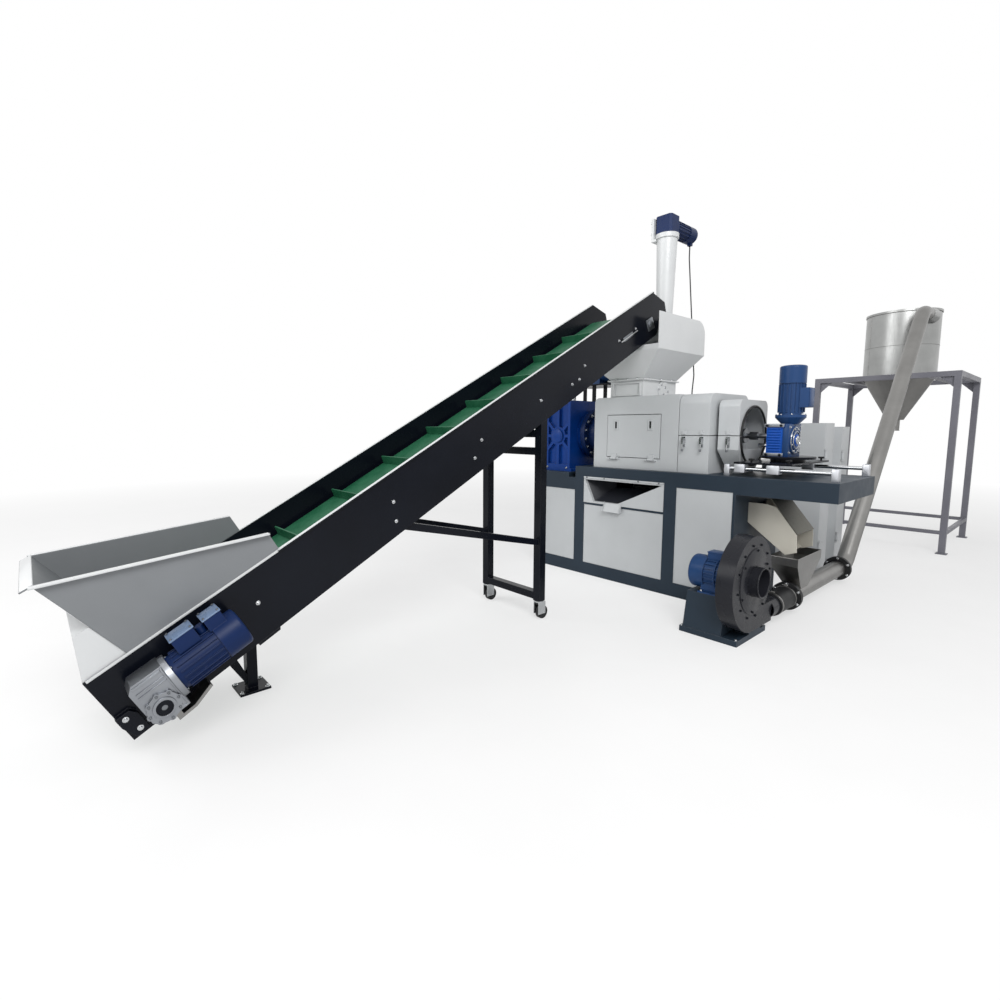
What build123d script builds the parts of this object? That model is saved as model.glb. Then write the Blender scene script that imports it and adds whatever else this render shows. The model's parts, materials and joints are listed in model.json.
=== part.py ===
"""Plastic pelletizing line: inclined feed conveyor, squeezer pelletizer, blower and pellet silo.

All sizes are millimetres. +X runs along the barrel towards the cutter, +Y away from the
feeding side, +Z up. The origin lies on the floor under the barrel, on the underside of
the base's cross rail.
"""
from build123d import *
import math
import os

# Machine base
BASE_LEFT = -1520.0
BASE_RIGHT = 540.0
BASE_HALF_DEPTH = 436.0
BASE_TOP = 1070.0
BASE_LOW_TOP = 1000.0
LOW_TOP_END = -1096.0
NOTCH_END = -1011.0
NOTCH_FLOOR = 955.0
BASE_WALL = 60.0
PLINTH = 120.0
PANEL_THICKNESS = 16.0
PANEL_RECESS = 4.0
POST_LEFT = (-1015.0, -900.0)
POST_MIDDLE = (-57.0, 55.0)
TABLE_END = 1214.0
TABLE_SKIRT = 140.0
TABLE_WALL = 40.0
TABLE_PLATE = 12.0
TOP_PLATE = 20.0
POST_RIGHT = 20.0
SCOOP_DEPTH = 250.0
SCOOP_SHEET = 4.0
SCOOP_MOUTH = ((-887.0, 948.0), (-77.0, 948.0), (-519.0, 740.0), (-785.0, 740.0))
SCOOP_BACK = ((-700.0, 940.0), (-260.0, 940.0), (-260.0, 870.0), (-700.0, 870.0))
SPOUT_LEFT = -650.0
SPOUT_RIGHT = -475.0
SPOUT_LOW = 664.0

# Barrel and its housings
AXIS_Z = 1380.0
HOUSING_LEFT = -850.0
HOUSING_SPLIT_X = 16.0
HOUSING_RIGHT = 277.0
HOUSING_HALF_DEPTH = 360.0
HOUSING_TOP = AXIS_Z + 350
HOUSING_WALL = 12.0
COVER_GAP = 5.5
CHAMBER_LEFT = 305.0
CHAMBER_RIGHT = 471.0
CHAMBER_HALF_DEPTH = 267.0
CHAMBER_TOP = AXIS_Z + 293
CHAMBER_FUNNEL_Z = AXIS_Z - 111
CHAMBER_OPENING_R = 236.0
SEAL_BAND = 12.0
BARREL_R = 105.0
BARREL_CLEARANCE = 6.0
DIE_R = 130.0
DIE_FACE = 350.0
DOOR_LEFT = -698.0
DOOR_RIGHT = -155.0
DOOR_BOTTOM = 1177.0
DOOR_TOP = 1563.0
DOOR_THICKNESS = 18.0
DIE_LENGTH = 32.0
FUNNEL_WALL = 8.0
FUNNEL_OUT_HALF = 40.0
FUNNEL_OUT_HALF_Y = 120.0
END_LATCHES = (62.0, 216.0)
DIE_LATCHES = (388.0,)

# Main drive
GEARBOX_LEFT = -1510.0
GEARBOX_RIGHT = -1150.0
GEARBOX_HALF = 336.0
GEARBOX_TOP = AXIS_Z + 346
THRUST_R = 190.0
MOTOR_PLATE_Z = GEARBOX_TOP + 179
MOTOR_R = 160.0
MOTOR_Y = 230.0
MOTOR_RIGHT = -1000.0

# Feed hopper and force feeder
THROAT_LEFT = -718.0
THROAT_RIGHT = -375.0
THROAT_NEAR = -300.0
THROAT_FAR = 270.0
THROAT_TOP = HOUSING_TOP + 162
THROAT_FLANGE = 22.0
INLET_LEFT = -600.0
INLET_RIGHT = -400.0
HOPPER_WALL = 8.0
HOPPER_LEFT = -985.0
HOPPER_RIGHT = -167.0
HOPPER_NEAR = -415.0
HOPPER_FAR = 392.0
HOPPER_SHOULDER = THROAT_TOP + 234
HOPPER_TOP = HOPPER_SHOULDER + 311
HOPPER_ROUND = 130.0
HOPPER_MOUTH = 330.0
HOPPER_LIP = HOPPER_SHOULDER + 44
FEEDER_X = -368.0
FEEDER_Y = 0.0
FEEDER_TOP = HOPPER_TOP + 758
FEEDER_HEAD = 78.0
FEEDER_MOTOR_END = 424.0
FEEDER_CABLE_Y = HOPPER_FAR + 13
FEEDER_GLAND_DROP = 14.0
CABLE_R = 5.5

# Hinges shared by the covers and doors
PIN_R = 6.0
KNUCKLE_R = 11.0
PIN_PLAY = 0.3

# Cutter carriage
SHAFT_NEAR = -345.0
SHAFT_FAR = 395.0
SHAFT_Z = 1130.0
SHAFT_R = 15.0
SHAFT_LEFT = 415.0
SHAFT_RIGHT = 1185.0
PLATE_LEFT = 490.0
PLATE_RIGHT = 900.0
PLATE_EDGE = 38.0
PLATE_Z = 1168.0
PLATE_THICKNESS = 14.0
TURNTABLE_X = 740.0
TURNTABLE_R = 190.0
TURNTABLE_Z = 1205.0
TURNTABLE_THICKNESS = 18.0
GEAR_LEFT = 620.0
GEAR_RIGHT = 735.0
GEAR_END = 778.0
GEAR_HALF = 122.0
GEAR_TOP = 1476.0
COUPLING_R = 33.0
CUTTER_SHAFT_R = 20.0
CUTTER_MOTOR_X = 742.0
CUTTER_MOTOR_R = 93.0
CUTTER_MOTOR_TOP = 1925.0
BLADE_GAP = 28.0
BLADE_TIP_R = 105.0

# Blower and air line
AIR_X = 845.0
AIR_Z = 145.0
BLOWER_Y = -930.0
BLOWER_Z = 422.0
BLOWER_WIDTH = 110.0
BLOWER_MOTOR_R = 118.0
BLOWER_END = -480.0
SCROLL_MIN_R = 277.0
DUCT_HEIGHT = 148.0
INLET_R = 94.0
PIPE_R = 70.0
PIPE_WALL = 4.0
RING_R = 108.0
PIPE_NEAR = -150.0
PIPE_FAR = 1120.0
VENTURI_RIM = 465.0
PIPE_ENTRY_OFFSET = 292.0
PIPE_ENTRY_DROP = 95.0
CHUTE_NEAR = -150.0
CHUTE_FAR = 140.0
CHUTE_LOW = 706.0
CHUTE_HIGH = 830.0
CHUTE_SIDE_TOP = 850.0
CHUTE_LEFT_Y = -180.0
CHUTE_RIGHT_Y = 170.0
DEFLECTOR_TOP = (690.0, 905.0)
DEFLECTOR_LOW = (899.0, 636.0)

# Conveyor
SIDE_LENGTH = 4734.0
CONVEYOR_TAIL_Z = 403.0
CONVEYOR_HEAD_Y = HOPPER_NEAR + 88
CONVEYOR_HEAD_Z = HOPPER_TOP + 188
INCLINE = math.asin((CONVEYOR_HEAD_Z - CONVEYOR_TAIL_Z) / SIDE_LENGTH)
CONVEYOR_RUN = SIDE_LENGTH * math.cos(INCLINE)
CONVEYOR_TAIL_Y = CONVEYOR_HEAD_Y - CONVEYOR_RUN
CONVEYOR_NEAR_X = -297.0
CONVEYOR_FAR_X = -935.0
SIDE_DEPTH = 350.0
NOSE_LENGTH = 155.0
SIDE_SHEET = 8.0
SIDE_FLANGE = 45.0
BELT_T = -130.0
BELT_THICKNESS = 6.0
BELT_LOOP_DEPTH = 200.0
CLEAT_COUNT = 10
CLEAT_HEIGHT = 55.0
TAIL_DRUM_S = 174.0
HEAD_DRUM_S = SIDE_LENGTH - 159
DRUM_SHAFT_R = 20.0
INTAKE_TAIL_S = 86.0
INTAKE_TAIL_T = 448.0
INTAKE_FOOT_S = 184.0
INTAKE_HEAD_S = 936.0
INTAKE_HEAD_T = 102.0
INTAKE_RIM = 28.0
TAIL_COVER_T = 187.0
DRIVE_OFFSET = 150.0
DRIVE_MOTOR_LENGTH = 322.0
DRIVE_MOTOR_R = 93.0
DRIVE_MOTOR_T = -163.0
TAKE_UP_SLOT = (-606.0, -412.0)
TUBE = 63.0
FOOT_SHARE = 0.1845
FOOT_X = -640.0
FOOT_WIDTH = 60.0
TROLLEY_SHARE = 0.67
BRACE_SHARE = 0.378
CASTER_R = 50.0
CASTER_TOP = 145.0
CASTER_TRAIL = 30.0

# Silo
SILO_X = 620.0
SILO_Y = 3938.0
SILO_R = 367.0
SILO_FRAME_TOP = 2074.0
SILO_TOP = SILO_FRAME_TOP + 786
SILO_WALL = 5.0
SILO_LEG = 60.0
SILO_CONE_LOW = SILO_FRAME_TOP - 529
SILO_FRAME_X = (-739.0, 670.0)
SILO_FRAME_Y = (-608.0, 880.0)
SILO_LOW_RAIL = 226.0

# Control cabinets as (name, x0, x1, y0, y1, height)
CABINETS = (
    ("a", 250.0, 648.0, 1183.0, 1440.0, 1490.0),
    ("b", 265.0, 616.0, 1830.0, 2065.0, 1455.0),
)


def block(x0, x1, y0, y1, z0, z1):
    """Box between two corners."""
    centre = Pos((x0 + x1) / 2, (y0 + y1) / 2, (z0 + z1) / 2)
    return centre * Box(abs(x1 - x0), abs(y1 - y0), abs(z1 - z0))


def rod(start, end, radius):
    """Round bar between two points."""
    direction = Vector(*end) - Vector(*start)
    plane = Plane(origin=start, z_dir=direction)
    return extrude(plane * Circle(radius), direction.length)


def pipe(start, end, outer, wall):
    """Open tube between two points."""
    direction = Vector(*end) - Vector(*start)
    plane = Plane(origin=start, z_dir=direction)
    return extrude(plane * (Circle(outer) - Circle(outer - wall)), direction.length)


def outline(points):
    """Closed face through the given points."""
    return make_face(Polyline(*points, close=True))


def along_x(points, x0, x1):
    """Solid between two X values from an outline given as (y, z)."""
    plane = Plane(origin=(x0, 0, 0), x_dir=(0, 1, 0), z_dir=(1, 0, 0))
    return extrude(plane * outline(points), x1 - x0)


def along_y(points, y0, y1):
    """Solid between two Y values from an outline given as (x, z)."""
    plane = Plane(origin=(0, y1, 0), x_dir=(1, 0, 0), z_dir=(0, -1, 0))
    return extrude(plane * outline(points), y1 - y0)


def slope_plane(x):
    """Plane whose X runs up the conveyor and whose Y is square to it."""
    return Plane(
        origin=(x, CONVEYOR_TAIL_Y, CONVEYOR_TAIL_Z),
        x_dir=(0, math.cos(INCLINE), math.sin(INCLINE)),
        z_dir=(1, 0, 0),
    )


def on_slope(points, x0, x1):
    """Solid between two X values from an outline in conveyor coordinates."""
    return extrude(slope_plane(x0) * outline(points), x1 - x0)


def slope_point(s, t, x):
    """Point at s up the conveyor and t square to it."""
    y = CONVEYOR_TAIL_Y + s * math.cos(INCLINE) - t * math.sin(INCLINE)
    z = CONVEYOR_TAIL_Z + s * math.sin(INCLINE) + t * math.cos(INCLINE)
    return (x, y, z)


def motor(radius, length, fins=20, fan_share=0.36):
    """Finned motor standing on Z, drive end at zero, fan cover at the top."""
    fan_start = length * (1 - fan_share)
    body = Cylinder(radius * 0.9, fan_start, align=(Align.CENTER, Align.CENTER, Align.MIN))
    fin = Pos(radius * 0.93, 0, fan_start / 2 + 8) * Box(radius * 0.14, 5, fan_start - 24)
    ribs = [Rot(0, 0, 360 / fins * n) * fin for n in range(fins)]
    cover = Pos(0, 0, fan_start) * Cylinder(
        radius, length - fan_start, align=(Align.CENTER, Align.CENTER, Align.MIN)
    )
    cover = fillet(cover.edges().group_by(Axis.Z)[-1], radius * 0.15)
    shape = body + cover
    for rib in ribs:
        shape = shape + rib
    return shape


parts = {}


def add(name, *solids):
    """Collect the solids of one sub-part."""
    parts.setdefault(name, []).extend(solids)


# Machine base
def panel_windows():
    """Openings in the long sides as (x0, x1, z0, z1); the second one holds the scoop."""
    return [
        (BASE_LEFT + BASE_WALL, POST_LEFT[0], PLINTH, 835.0),
        (POST_LEFT[1], POST_MIDDLE[0], 722.0, 976.0),
        (POST_LEFT[1], POST_MIDDLE[0], PLINTH, 702.0),
        (POST_MIDDLE[1], BASE_RIGHT - POST_RIGHT, PLINTH, 945.0),
    ]


def build_base():
    front = -BASE_HALF_DEPTH
    back = BASE_HALF_DEPTH
    side_outline = [
        (BASE_LEFT, 0),
        (BASE_RIGHT, 0),
        (BASE_RIGHT, BASE_TOP),
        (NOTCH_END, BASE_TOP),
        (NOTCH_END, NOTCH_FLOOR),
        (LOW_TOP_END, NOTCH_FLOOR),
        (LOW_TOP_END, BASE_LOW_TOP),
        (BASE_LEFT, BASE_LOW_TOP),
    ]
    body = along_y(side_outline, front, back)
    under_low_top = NOTCH_FLOOR - TOP_PLATE
    body = body - block(
        BASE_LEFT + BASE_WALL, BASE_RIGHT - BASE_WALL,
        front + BASE_WALL, back - BASE_WALL, -1, under_low_top,
    )
    body = body - block(
        NOTCH_END + BASE_WALL, BASE_RIGHT - BASE_WALL,
        front + BASE_WALL, back - BASE_WALL, under_low_top - 1, BASE_TOP - TOP_PLATE,
    )
    windows = panel_windows()
    for x0, x1, z0, z1 in windows:
        body = body - block(x0, x1, front - 1, front + BASE_WALL + 1, z0, z1)
        body = body - block(x0, x1, back - BASE_WALL - 1, back + 1, z0, z1)
    body = body + block(
        POST_MIDDLE[0], POST_MIDDLE[1], front + BASE_WALL, back - BASE_WALL, 0, PLINTH / 2
    )
    throat = FUNNEL_OUT_HALF + FUNNEL_WALL
    centre = (CHAMBER_LEFT + CHAMBER_RIGHT) / 2
    body = body - block(
        centre - throat, centre + throat, -FUNNEL_OUT_HALF_Y, FUNNEL_OUT_HALF_Y,
        BASE_TOP - TOP_PLATE - 1, BASE_TOP + 1,
    )
    body = body - block(
        BASE_RIGHT - BASE_WALL - 1, BASE_RIGHT + 1, CHUTE_NEAR, CHUTE_FAR, CHUTE_LOW, CHUTE_HIGH
    )
    table = block(BASE_RIGHT, TABLE_END, front, back, BASE_TOP - TABLE_SKIRT, BASE_TOP)
    table = table - block(
        BASE_RIGHT, TABLE_END - TABLE_WALL, front + TABLE_WALL, back - TABLE_WALL,
        BASE_TOP - TABLE_SKIRT - 1, BASE_TOP - TABLE_PLATE,
    )
    add("base_frame", body + table)
    for number, (x0, x1, z0, z1) in enumerate(windows):
        sides = [back - PANEL_RECESS - PANEL_THICKNESS]
        if number != 1:
            sides.append(front + PANEL_RECESS)
        for y0 in sides:
            add("base_panels", block(x0, x1, y0, y0 + PANEL_THICKNESS, z0, z1))


def grown(corners, margin):
    """Four corners, given clockwise from the upper left, moved outwards by a margin."""
    ways = ((-1, 1), (1, 1), (1, -1), (-1, -1))
    return [(x + dx * margin, z + dz * margin) for (x, z), (dx, dz) in zip(corners, ways)]


def build_scoop():
    """Outlet drawer in the front of the base: cheeks running down to a small spout."""
    x0, x1, z0, z1 = panel_windows()[1]
    front = -BASE_HALF_DEPTH
    sheet = SCOOP_SHEET
    frame = block(x0, x1, front - 6, front + 10, z0, z1)
    frame = frame - along_y(SCOOP_MOUTH, front - 7, front + 11)
    frame = frame + block(x0, x1, front - 12, front - 6, z1 - 14, z1)
    near = Plane(origin=(0, front + 10, 0), x_dir=(1, 0, 0), z_dir=(0, -1, 0))
    far = Plane(origin=(0, front + SCOOP_DEPTH, 0), x_dir=(1, 0, 0), z_dir=(0, -1, 0))
    outer = loft([near * outline(grown(SCOOP_MOUTH, sheet)), far * outline(grown(SCOOP_BACK, sheet))])
    inner = loft([near * outline(SCOOP_MOUTH), far * outline(SCOOP_BACK)])
    spout_top = SCOOP_MOUTH[2][1]
    floor = [
        (front - 6, spout_top), (front - 40, SPOUT_LOW), (front - 40, SPOUT_LOW - sheet),
        (front - 6, SPOUT_LOW - sheet),
    ]
    spout = along_x(floor, SPOUT_LEFT, SPOUT_RIGHT)
    cheek = [
        (front - 6, spout_top), (front - 12, spout_top + 12), (front - 52, SPOUT_LOW),
        (front - 52, SPOUT_LOW - sheet), (front - 6, SPOUT_LOW - sheet),
    ]
    for start in (SPOUT_LEFT - sheet, SPOUT_RIGHT):
        spout = spout + along_x(cheek, start, start + sheet)
    add("base_scoop", frame + (outer - inner) + spout)


# Main drive
def build_drive():
    x0, x1 = GEARBOX_LEFT, GEARBOX_RIGHT
    front, back = -GEARBOX_HALF, GEARBOX_HALF
    cx = (x0 + x1) / 2
    recess = 30.0
    body = block(x0 + 20, x1 - 20, front + recess, back - recess, BASE_LOW_TOP + 30, GEARBOX_TOP)
    body = body + block(x0, x1, front, back, BASE_LOW_TOP, BASE_LOW_TOP + 30)
    face = Plane(origin=(cx, front + recess, AXIS_Z - 17), x_dir=(1, 0, 0), z_dir=(0, -1, 0))
    limit = block(x0 + 24, x1 - 24, front, 0, BASE_LOW_TOP + 30, GEARBOX_TOP - 4)
    for n in range(8):
        rib = extrude(face * (Rot(0, 0, 45 * n) * Pos(190, 0) * Rectangle(280, 30)), recess)
        body = body + (rib & limit)
    body = body + extrude(face * Circle(96), recess)
    body = body + extrude(face * Circle(62), recess + 12)
    frame = block(x0 + 20, x1 - 20, front, front + recess, BASE_LOW_TOP + 30, GEARBOX_TOP)
    frame = frame - block(
        x0 + 50, x1 - 50, front - 1, front + recess + 1, BASE_LOW_TOP + 70, GEARBOX_TOP - 30
    )
    body = body + frame
    neck_start = x1 - 20
    body = body + rod((neck_start, 0, AXIS_Z), (x1 + 40, 0, AXIS_Z), THRUST_R + 30)
    add("main_gearbox", body)
    neck = rod((x1 + 40, 0, AXIS_Z), (HOUSING_LEFT, 0, AXIS_Z), THRUST_R)
    neck = neck + rod((x1 + 40, 0, AXIS_Z), (x1 + 90, 0, AXIS_Z), THRUST_R + 60)
    add("thrust_housing", neck)
    top = MOTOR_PLATE_Z
    y0, y1 = MOTOR_Y - 200, MOTOR_Y + 200
    frame = block(x0 + 20, MOTOR_RIGHT, y0, y1, top - 14, top)
    for x in (x0 + 30, x1 - 60):
        for y in (MOTOR_Y - 160, GEARBOX_HALF - recess - 40):
            frame = frame + block(x, x + 30, y, y + 30, GEARBOX_TOP, top - 14)
    add("motor_frame", frame)
    length = MOTOR_RIGHT - x0 - 30
    axis_z = top + MOTOR_R + 20
    body = Pos(x0 + 30, MOTOR_Y, axis_z) * Rot(0, 90, 0) * motor(MOTOR_R, length)
    body = body + block(x0 + 90, x0 + 370, MOTOR_Y - 130, MOTOR_Y + 130, top, top + 60)
    add("main_motor", body)


# Hinges of the covers
def back_hinge(lower, upper, x0, x1, back):
    """Hinge behind a split housing: pin and lugs below, knuckle above."""
    y = back + 15
    z = AXIS_Z + COVER_GAP / 2
    middle = (x0 + x1) / 2
    reach = 26.0
    lower = lower + rod((middle - reach - 18, y, z), (middle + reach + 18, y, z), PIN_R)
    for side in (-1, 1):
        lug = middle + side * (reach + 12)
        lower = lower + block(lug - 6, lug + 6, back - 1, y + 9, z - 50, z)
        lower = lower + rod((lug - 6, y, z), (lug + 6, y, z), 10)
    leaf = block(middle - reach, middle + reach, back - 1, y, z + 14, z + 50)
    leaf = leaf + block(middle - reach, middle + reach, y - 5, y + 5, z, z + 50)
    leaf = leaf + rod((middle - reach, y, z), (middle + reach, y, z), KNUCKLE_R)
    leaf = leaf - rod((middle - reach - 1, y, z), (middle + reach + 1, y, z), PIN_R + PIN_PLAY)
    return lower, upper + leaf


# Barrel housing with its door
def build_housing():
    front, back = -HOUSING_HALF_DEPTH, HOUSING_HALF_DEPTH
    w = HOUSING_WALL
    gap = COVER_GAP
    right = HOUSING_SPLIT_X - gap
    shell = block(HOUSING_LEFT, right, front, back, BASE_TOP, HOUSING_TOP)
    shell = fillet(shell.edges().filter_by(Axis.Y).group_by(Axis.Z)[-1].sort_by(Axis.X)[:1], 45)
    shell = shell - block(
        HOUSING_LEFT + w, right - w, front + w, back - w, BASE_TOP - 1, HOUSING_TOP - w
    )
    shell = shell - block(
        DOOR_LEFT - gap, DOOR_RIGHT + gap, front - 1, front + w + 1, DOOR_BOTTOM - gap, DOOR_TOP + gap
    )
    shell = shell - block(
        INLET_LEFT + w, INLET_RIGHT - w, -80 + w, 80 - w, HOUSING_TOP - w - 1, HOUSING_TOP + 1
    )
    shell = shell - rod((HOUSING_LEFT - 1, 0, AXIS_Z), (HOUSING_LEFT + w + 1, 0, AXIS_Z), BARREL_R)
    bore = BARREL_R + BARREL_CLEARANCE
    shell = shell - rod((right - w - 1, 0, AXIS_Z), (right + 1, 0, AXIS_Z), bore)
    barrel = rod((HOUSING_LEFT, 0, AXIS_Z), (DIE_FACE - DIE_LENGTH, 0, AXIS_Z), BARREL_R)
    inlet = block(INLET_LEFT, INLET_RIGHT, -80, 80, AXIS_Z, HOUSING_TOP - w)
    inlet = inlet - block(
        INLET_LEFT + w, INLET_RIGHT - w, -80 + w, 80 - w, AXIS_Z + BARREL_R + 10, HOUSING_TOP
    )
    die = rod((DIE_FACE - DIE_LENGTH, 0, AXIS_Z), (DIE_FACE, 0, AXIS_Z), DIE_R)
    add("barrel", barrel + inlet + die)
    hinge_z = DOOR_BOTTOM - 14
    hinge_y = front - 14
    door = block(DOOR_LEFT, DOOR_RIGHT, front - 4, front - 4 + DOOR_THICKNESS, DOOR_BOTTOM, DOOR_TOP)
    for x in (DOOR_LEFT + 80, DOOR_RIGHT - 80):
        leaf = block(x - 30, x + 30, hinge_y, front - 3, hinge_z, DOOR_BOTTOM + 30)
        leaf = leaf + rod((x - 30, hinge_y, hinge_z), (x + 30, hinge_y, hinge_z), KNUCKLE_R)
        leaf = leaf - rod((x - 31, hinge_y, hinge_z), (x + 31, hinge_y, hinge_z), PIN_R + PIN_PLAY)
        door = door + leaf
        shell = shell + rod((x - 50, hinge_y, hinge_z), (x + 50, hinge_y, hinge_z), PIN_R)
        for side in (-1, 1):
            lug_x = x + side * 43
            shell = shell + block(
                lug_x - 7, lug_x + 7, hinge_y - 10, front + 1, hinge_z - 10, hinge_z + 10
            )
    for x in (DOOR_LEFT + 95, DOOR_RIGHT - 95):
        door = door + block(x - 24, x + 24, front - 9, front - 3, DOOR_TOP - 136, DOOR_TOP - 44)
        door = door - block(x - 10, x + 10, front - 10, front + 2, DOOR_TOP - 122, DOOR_TOP - 58)
    add("barrel_housing", shell)
    add("housing_door", door)


def build_end_housing():
    w = HOUSING_WALL
    front, back = -HOUSING_HALF_DEPTH, HOUSING_HALF_DEPTH
    x0, x1 = HOUSING_SPLIT_X, HOUSING_RIGHT
    whole = block(x0, x1, front, back, BASE_TOP, HOUSING_TOP)
    whole = fillet(whole.edges().filter_by(Axis.X).group_by(Axis.Z)[-1], 90)
    whole = whole - block(x0 + w, x1 - w, front + w, back - w, BASE_TOP - 1, HOUSING_TOP - 90)
    whole = whole - block(
        x0 + w, x1 - w, front + 90, back - 90, HOUSING_TOP - 91, HOUSING_TOP - w
    )
    whole = whole - rod((x0 - 1, 0, AXIS_Z), (x1 + 1, 0, AXIS_Z), BARREL_R + BARREL_CLEARANCE)
    below = block(x0 - 1, x1 + 1, front - 1, back + 1, BASE_TOP - 1, AXIS_Z)
    above = block(x0 - 1, x1 + 1, front - 1, back + 1, AXIS_Z + COVER_GAP, HOUSING_TOP + 1)
    lower, upper = back_hinge(whole & below, whole & above, x0 + 30, x1 - 30, back)
    add("end_housing", lower)
    for x in END_LATCHES:
        upper = upper + keeper(x, front)
    add("end_cover", upper)


def latch(x, face):
    """Toggle clamp below a split line: base plate, lever and its knob."""
    z = AXIS_Z - 8
    clamp = block(x - 16, x + 16, face - 8, face, z - 84, z)
    clamp = clamp + block(x - 9, x + 9, face - 30, face - 8, z - 60, z - 12)
    return clamp + rod((x, face - 24, z - 110), (x, face - 24, z - 50), 6)


def keeper(x, face):
    """Catch block above a split line that the clamp pulls down."""
    z = AXIS_Z + COVER_GAP + 6
    return block(x - 13, x + 13, face - 12, face + 1, z, z + 34)


def build_latches():
    for x in END_LATCHES:
        add("cover_latches", latch(x, -HOUSING_HALF_DEPTH))
    for x in DIE_LATCHES:
        add("cover_latches", latch(x, -CHAMBER_HALF_DEPTH))


def build_chamber():
    """Die chamber: split case with a round window for the cutter and a funnel below."""
    x0, x1 = CHAMBER_LEFT, CHAMBER_RIGHT
    half = CHAMBER_HALF_DEPTH
    w = FUNNEL_WALL
    whole = block(x0, x1, -half, half, CHAMBER_FUNNEL_Z, CHAMBER_TOP)
    whole = fillet(whole.edges().filter_by(Axis.X).group_by(Axis.Z)[-1], 60)
    whole = whole - block(x0 + w, x1 - w, -half + w, half - w, CHAMBER_FUNNEL_Z - 1, CHAMBER_TOP - 60)
    whole = whole - block(
        x0 + w, x1 - w, -half + 60, half - 60, CHAMBER_TOP - 61, CHAMBER_TOP - w
    )
    whole = whole - rod((x1 - w - 1, 0, AXIS_Z), (x1 + 1, 0, AXIS_Z), CHAMBER_OPENING_R)
    whole = whole - rod((x0 - 1, 0, AXIS_Z), (x0 + w + 1, 0, AXIS_Z), BARREL_R + BARREL_CLEARANCE)
    whole = whole + pipe(
        (x1 - w, 0, AXIS_Z), (x1 + 6, 0, AXIS_Z), CHAMBER_OPENING_R + SEAL_BAND, SEAL_BAND
    )
    middle = (x0 + x1) / 2
    top_plane = Plane(origin=(middle, 0, CHAMBER_FUNNEL_Z), z_dir=(0, 0, 1))
    low_plane = Plane(origin=(middle, 0, BASE_TOP), z_dir=(0, 0, 1))
    out_x, out_y = 2 * FUNNEL_OUT_HALF, 2 * FUNNEL_OUT_HALF_Y
    outer = loft([
        low_plane * Rectangle(out_x + 2 * w, out_y + 2 * w),
        top_plane * Rectangle(x1 - x0, 2 * half),
    ])
    inner = loft([
        low_plane * Rectangle(out_x, out_y),
        top_plane * Rectangle(x1 - x0 - 2 * w, 2 * half - 2 * w),
    ])
    below = block(x0 - 1, x1 + 9, -half - 20, half + 20, CHAMBER_FUNNEL_Z - 1, AXIS_Z)
    above = block(x0 - 1, x1 + 9, -half - 20, half + 20, AXIS_Z + COVER_GAP, CHAMBER_TOP + 1)
    lower, upper = back_hinge(
        (whole & below) + (outer - inner), whole & above, x0 + 20, x1 - 20, half
    )
    add("die_chamber", lower)
    for x in DIE_LATCHES:
        upper = upper + keeper(x, -half)
    add("die_cover", upper)


# Feed hopper and force feeder
def frustum(low, high, z0, z1, inset):
    """Four-sided taper between two rectangles given as (x0, x1, y0, y1)."""
    faces = []
    for (x0, x1, y0, y1), z in ((low, z0), (high, z1)):
        plane = Plane(origin=((x0 + x1) / 2, (y0 + y1) / 2, z), z_dir=(0, 0, 1))
        faces.append(plane * Rectangle(x1 - x0 - 2 * inset, y1 - y0 - 2 * inset))
    return loft(faces)


def build_throat():
    """Straight neck under the hopper with its framed window and flange."""
    w = HOPPER_WALL
    x0, x1, y0, y1 = THROAT_LEFT, THROAT_RIGHT, THROAT_NEAR, THROAT_FAR
    throat = block(x0, x1, y0, y1, HOUSING_TOP, THROAT_TOP)
    frame = 40.0
    window = (x0 + frame, x1 - frame, HOUSING_TOP + 24, THROAT_TOP - 38)
    throat = throat + block(
        window[0] - 18, window[1] + 18, y0 - 8, y0, window[2] - 14, window[3] + 14
    )
    throat = throat - block(x0 + w, x1 - w, y0 + 2 * w, y1 - w, HOUSING_TOP - 1, THROAT_TOP + 1)
    throat = throat - block(window[0], window[1], y0 - 9, y0 + w, window[2], window[3])
    edge = THROAT_FLANGE
    flange = block(x0 - edge, x1 + edge, y0 - edge, y1 + edge, THROAT_TOP - 12, THROAT_TOP)
    flange = flange - block(x0 + w, x1 - w, y0 + 2 * w, y1 - w, THROAT_TOP - 13, THROAT_TOP + 1)
    plate = rod((x1, 35, HOUSING_TOP + 68), (x1 + 10, 35, HOUSING_TOP + 68), 88)
    plate = plate & block(x1 - 1, x1 + 11, -60, 130, HOUSING_TOP + 20, THROAT_TOP - 12)
    add("hopper_throat", throat + flange + plate)


def build_feed():
    w = HOPPER_WALL
    neck = (THROAT_LEFT, THROAT_RIGHT, THROAT_NEAR, THROAT_FAR)
    x0, x1, y0, y1 = HOPPER_LEFT, HOPPER_RIGHT, HOPPER_NEAR, HOPPER_FAR
    rim = (x0, x1, y0, y1)
    cone = frustum(neck, rim, THROAT_TOP, HOPPER_SHOULDER, 0) - frustum(
        neck, rim, THROAT_TOP, HOPPER_SHOULDER, w
    )
    hood = block(x0, x1, y0, y1, HOPPER_SHOULDER, HOPPER_TOP)
    far_top = hood.edges().filter_by(Axis.X).group_by(Axis.Z)[-1].sort_by(Axis.Y)[-1:]
    hood = fillet(far_top, HOPPER_ROUND)
    hood = hood - block(
        x0 + w, x1 - w, y0 + w, y1 - HOPPER_ROUND, HOPPER_SHOULDER - 1, HOPPER_TOP - w
    )
    hood = hood - block(
        x0 + w, x1 - w, y1 - HOPPER_ROUND - 1, y1 - w, HOPPER_SHOULDER - 1, HOPPER_TOP - HOPPER_ROUND
    )
    hood = hood - block(
        x0 + w, x1 - w, y0 - 1, y0 + HOPPER_MOUTH, HOPPER_LIP, HOPPER_TOP + 1
    )
    add("feed_hopper", cone + hood)


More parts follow.
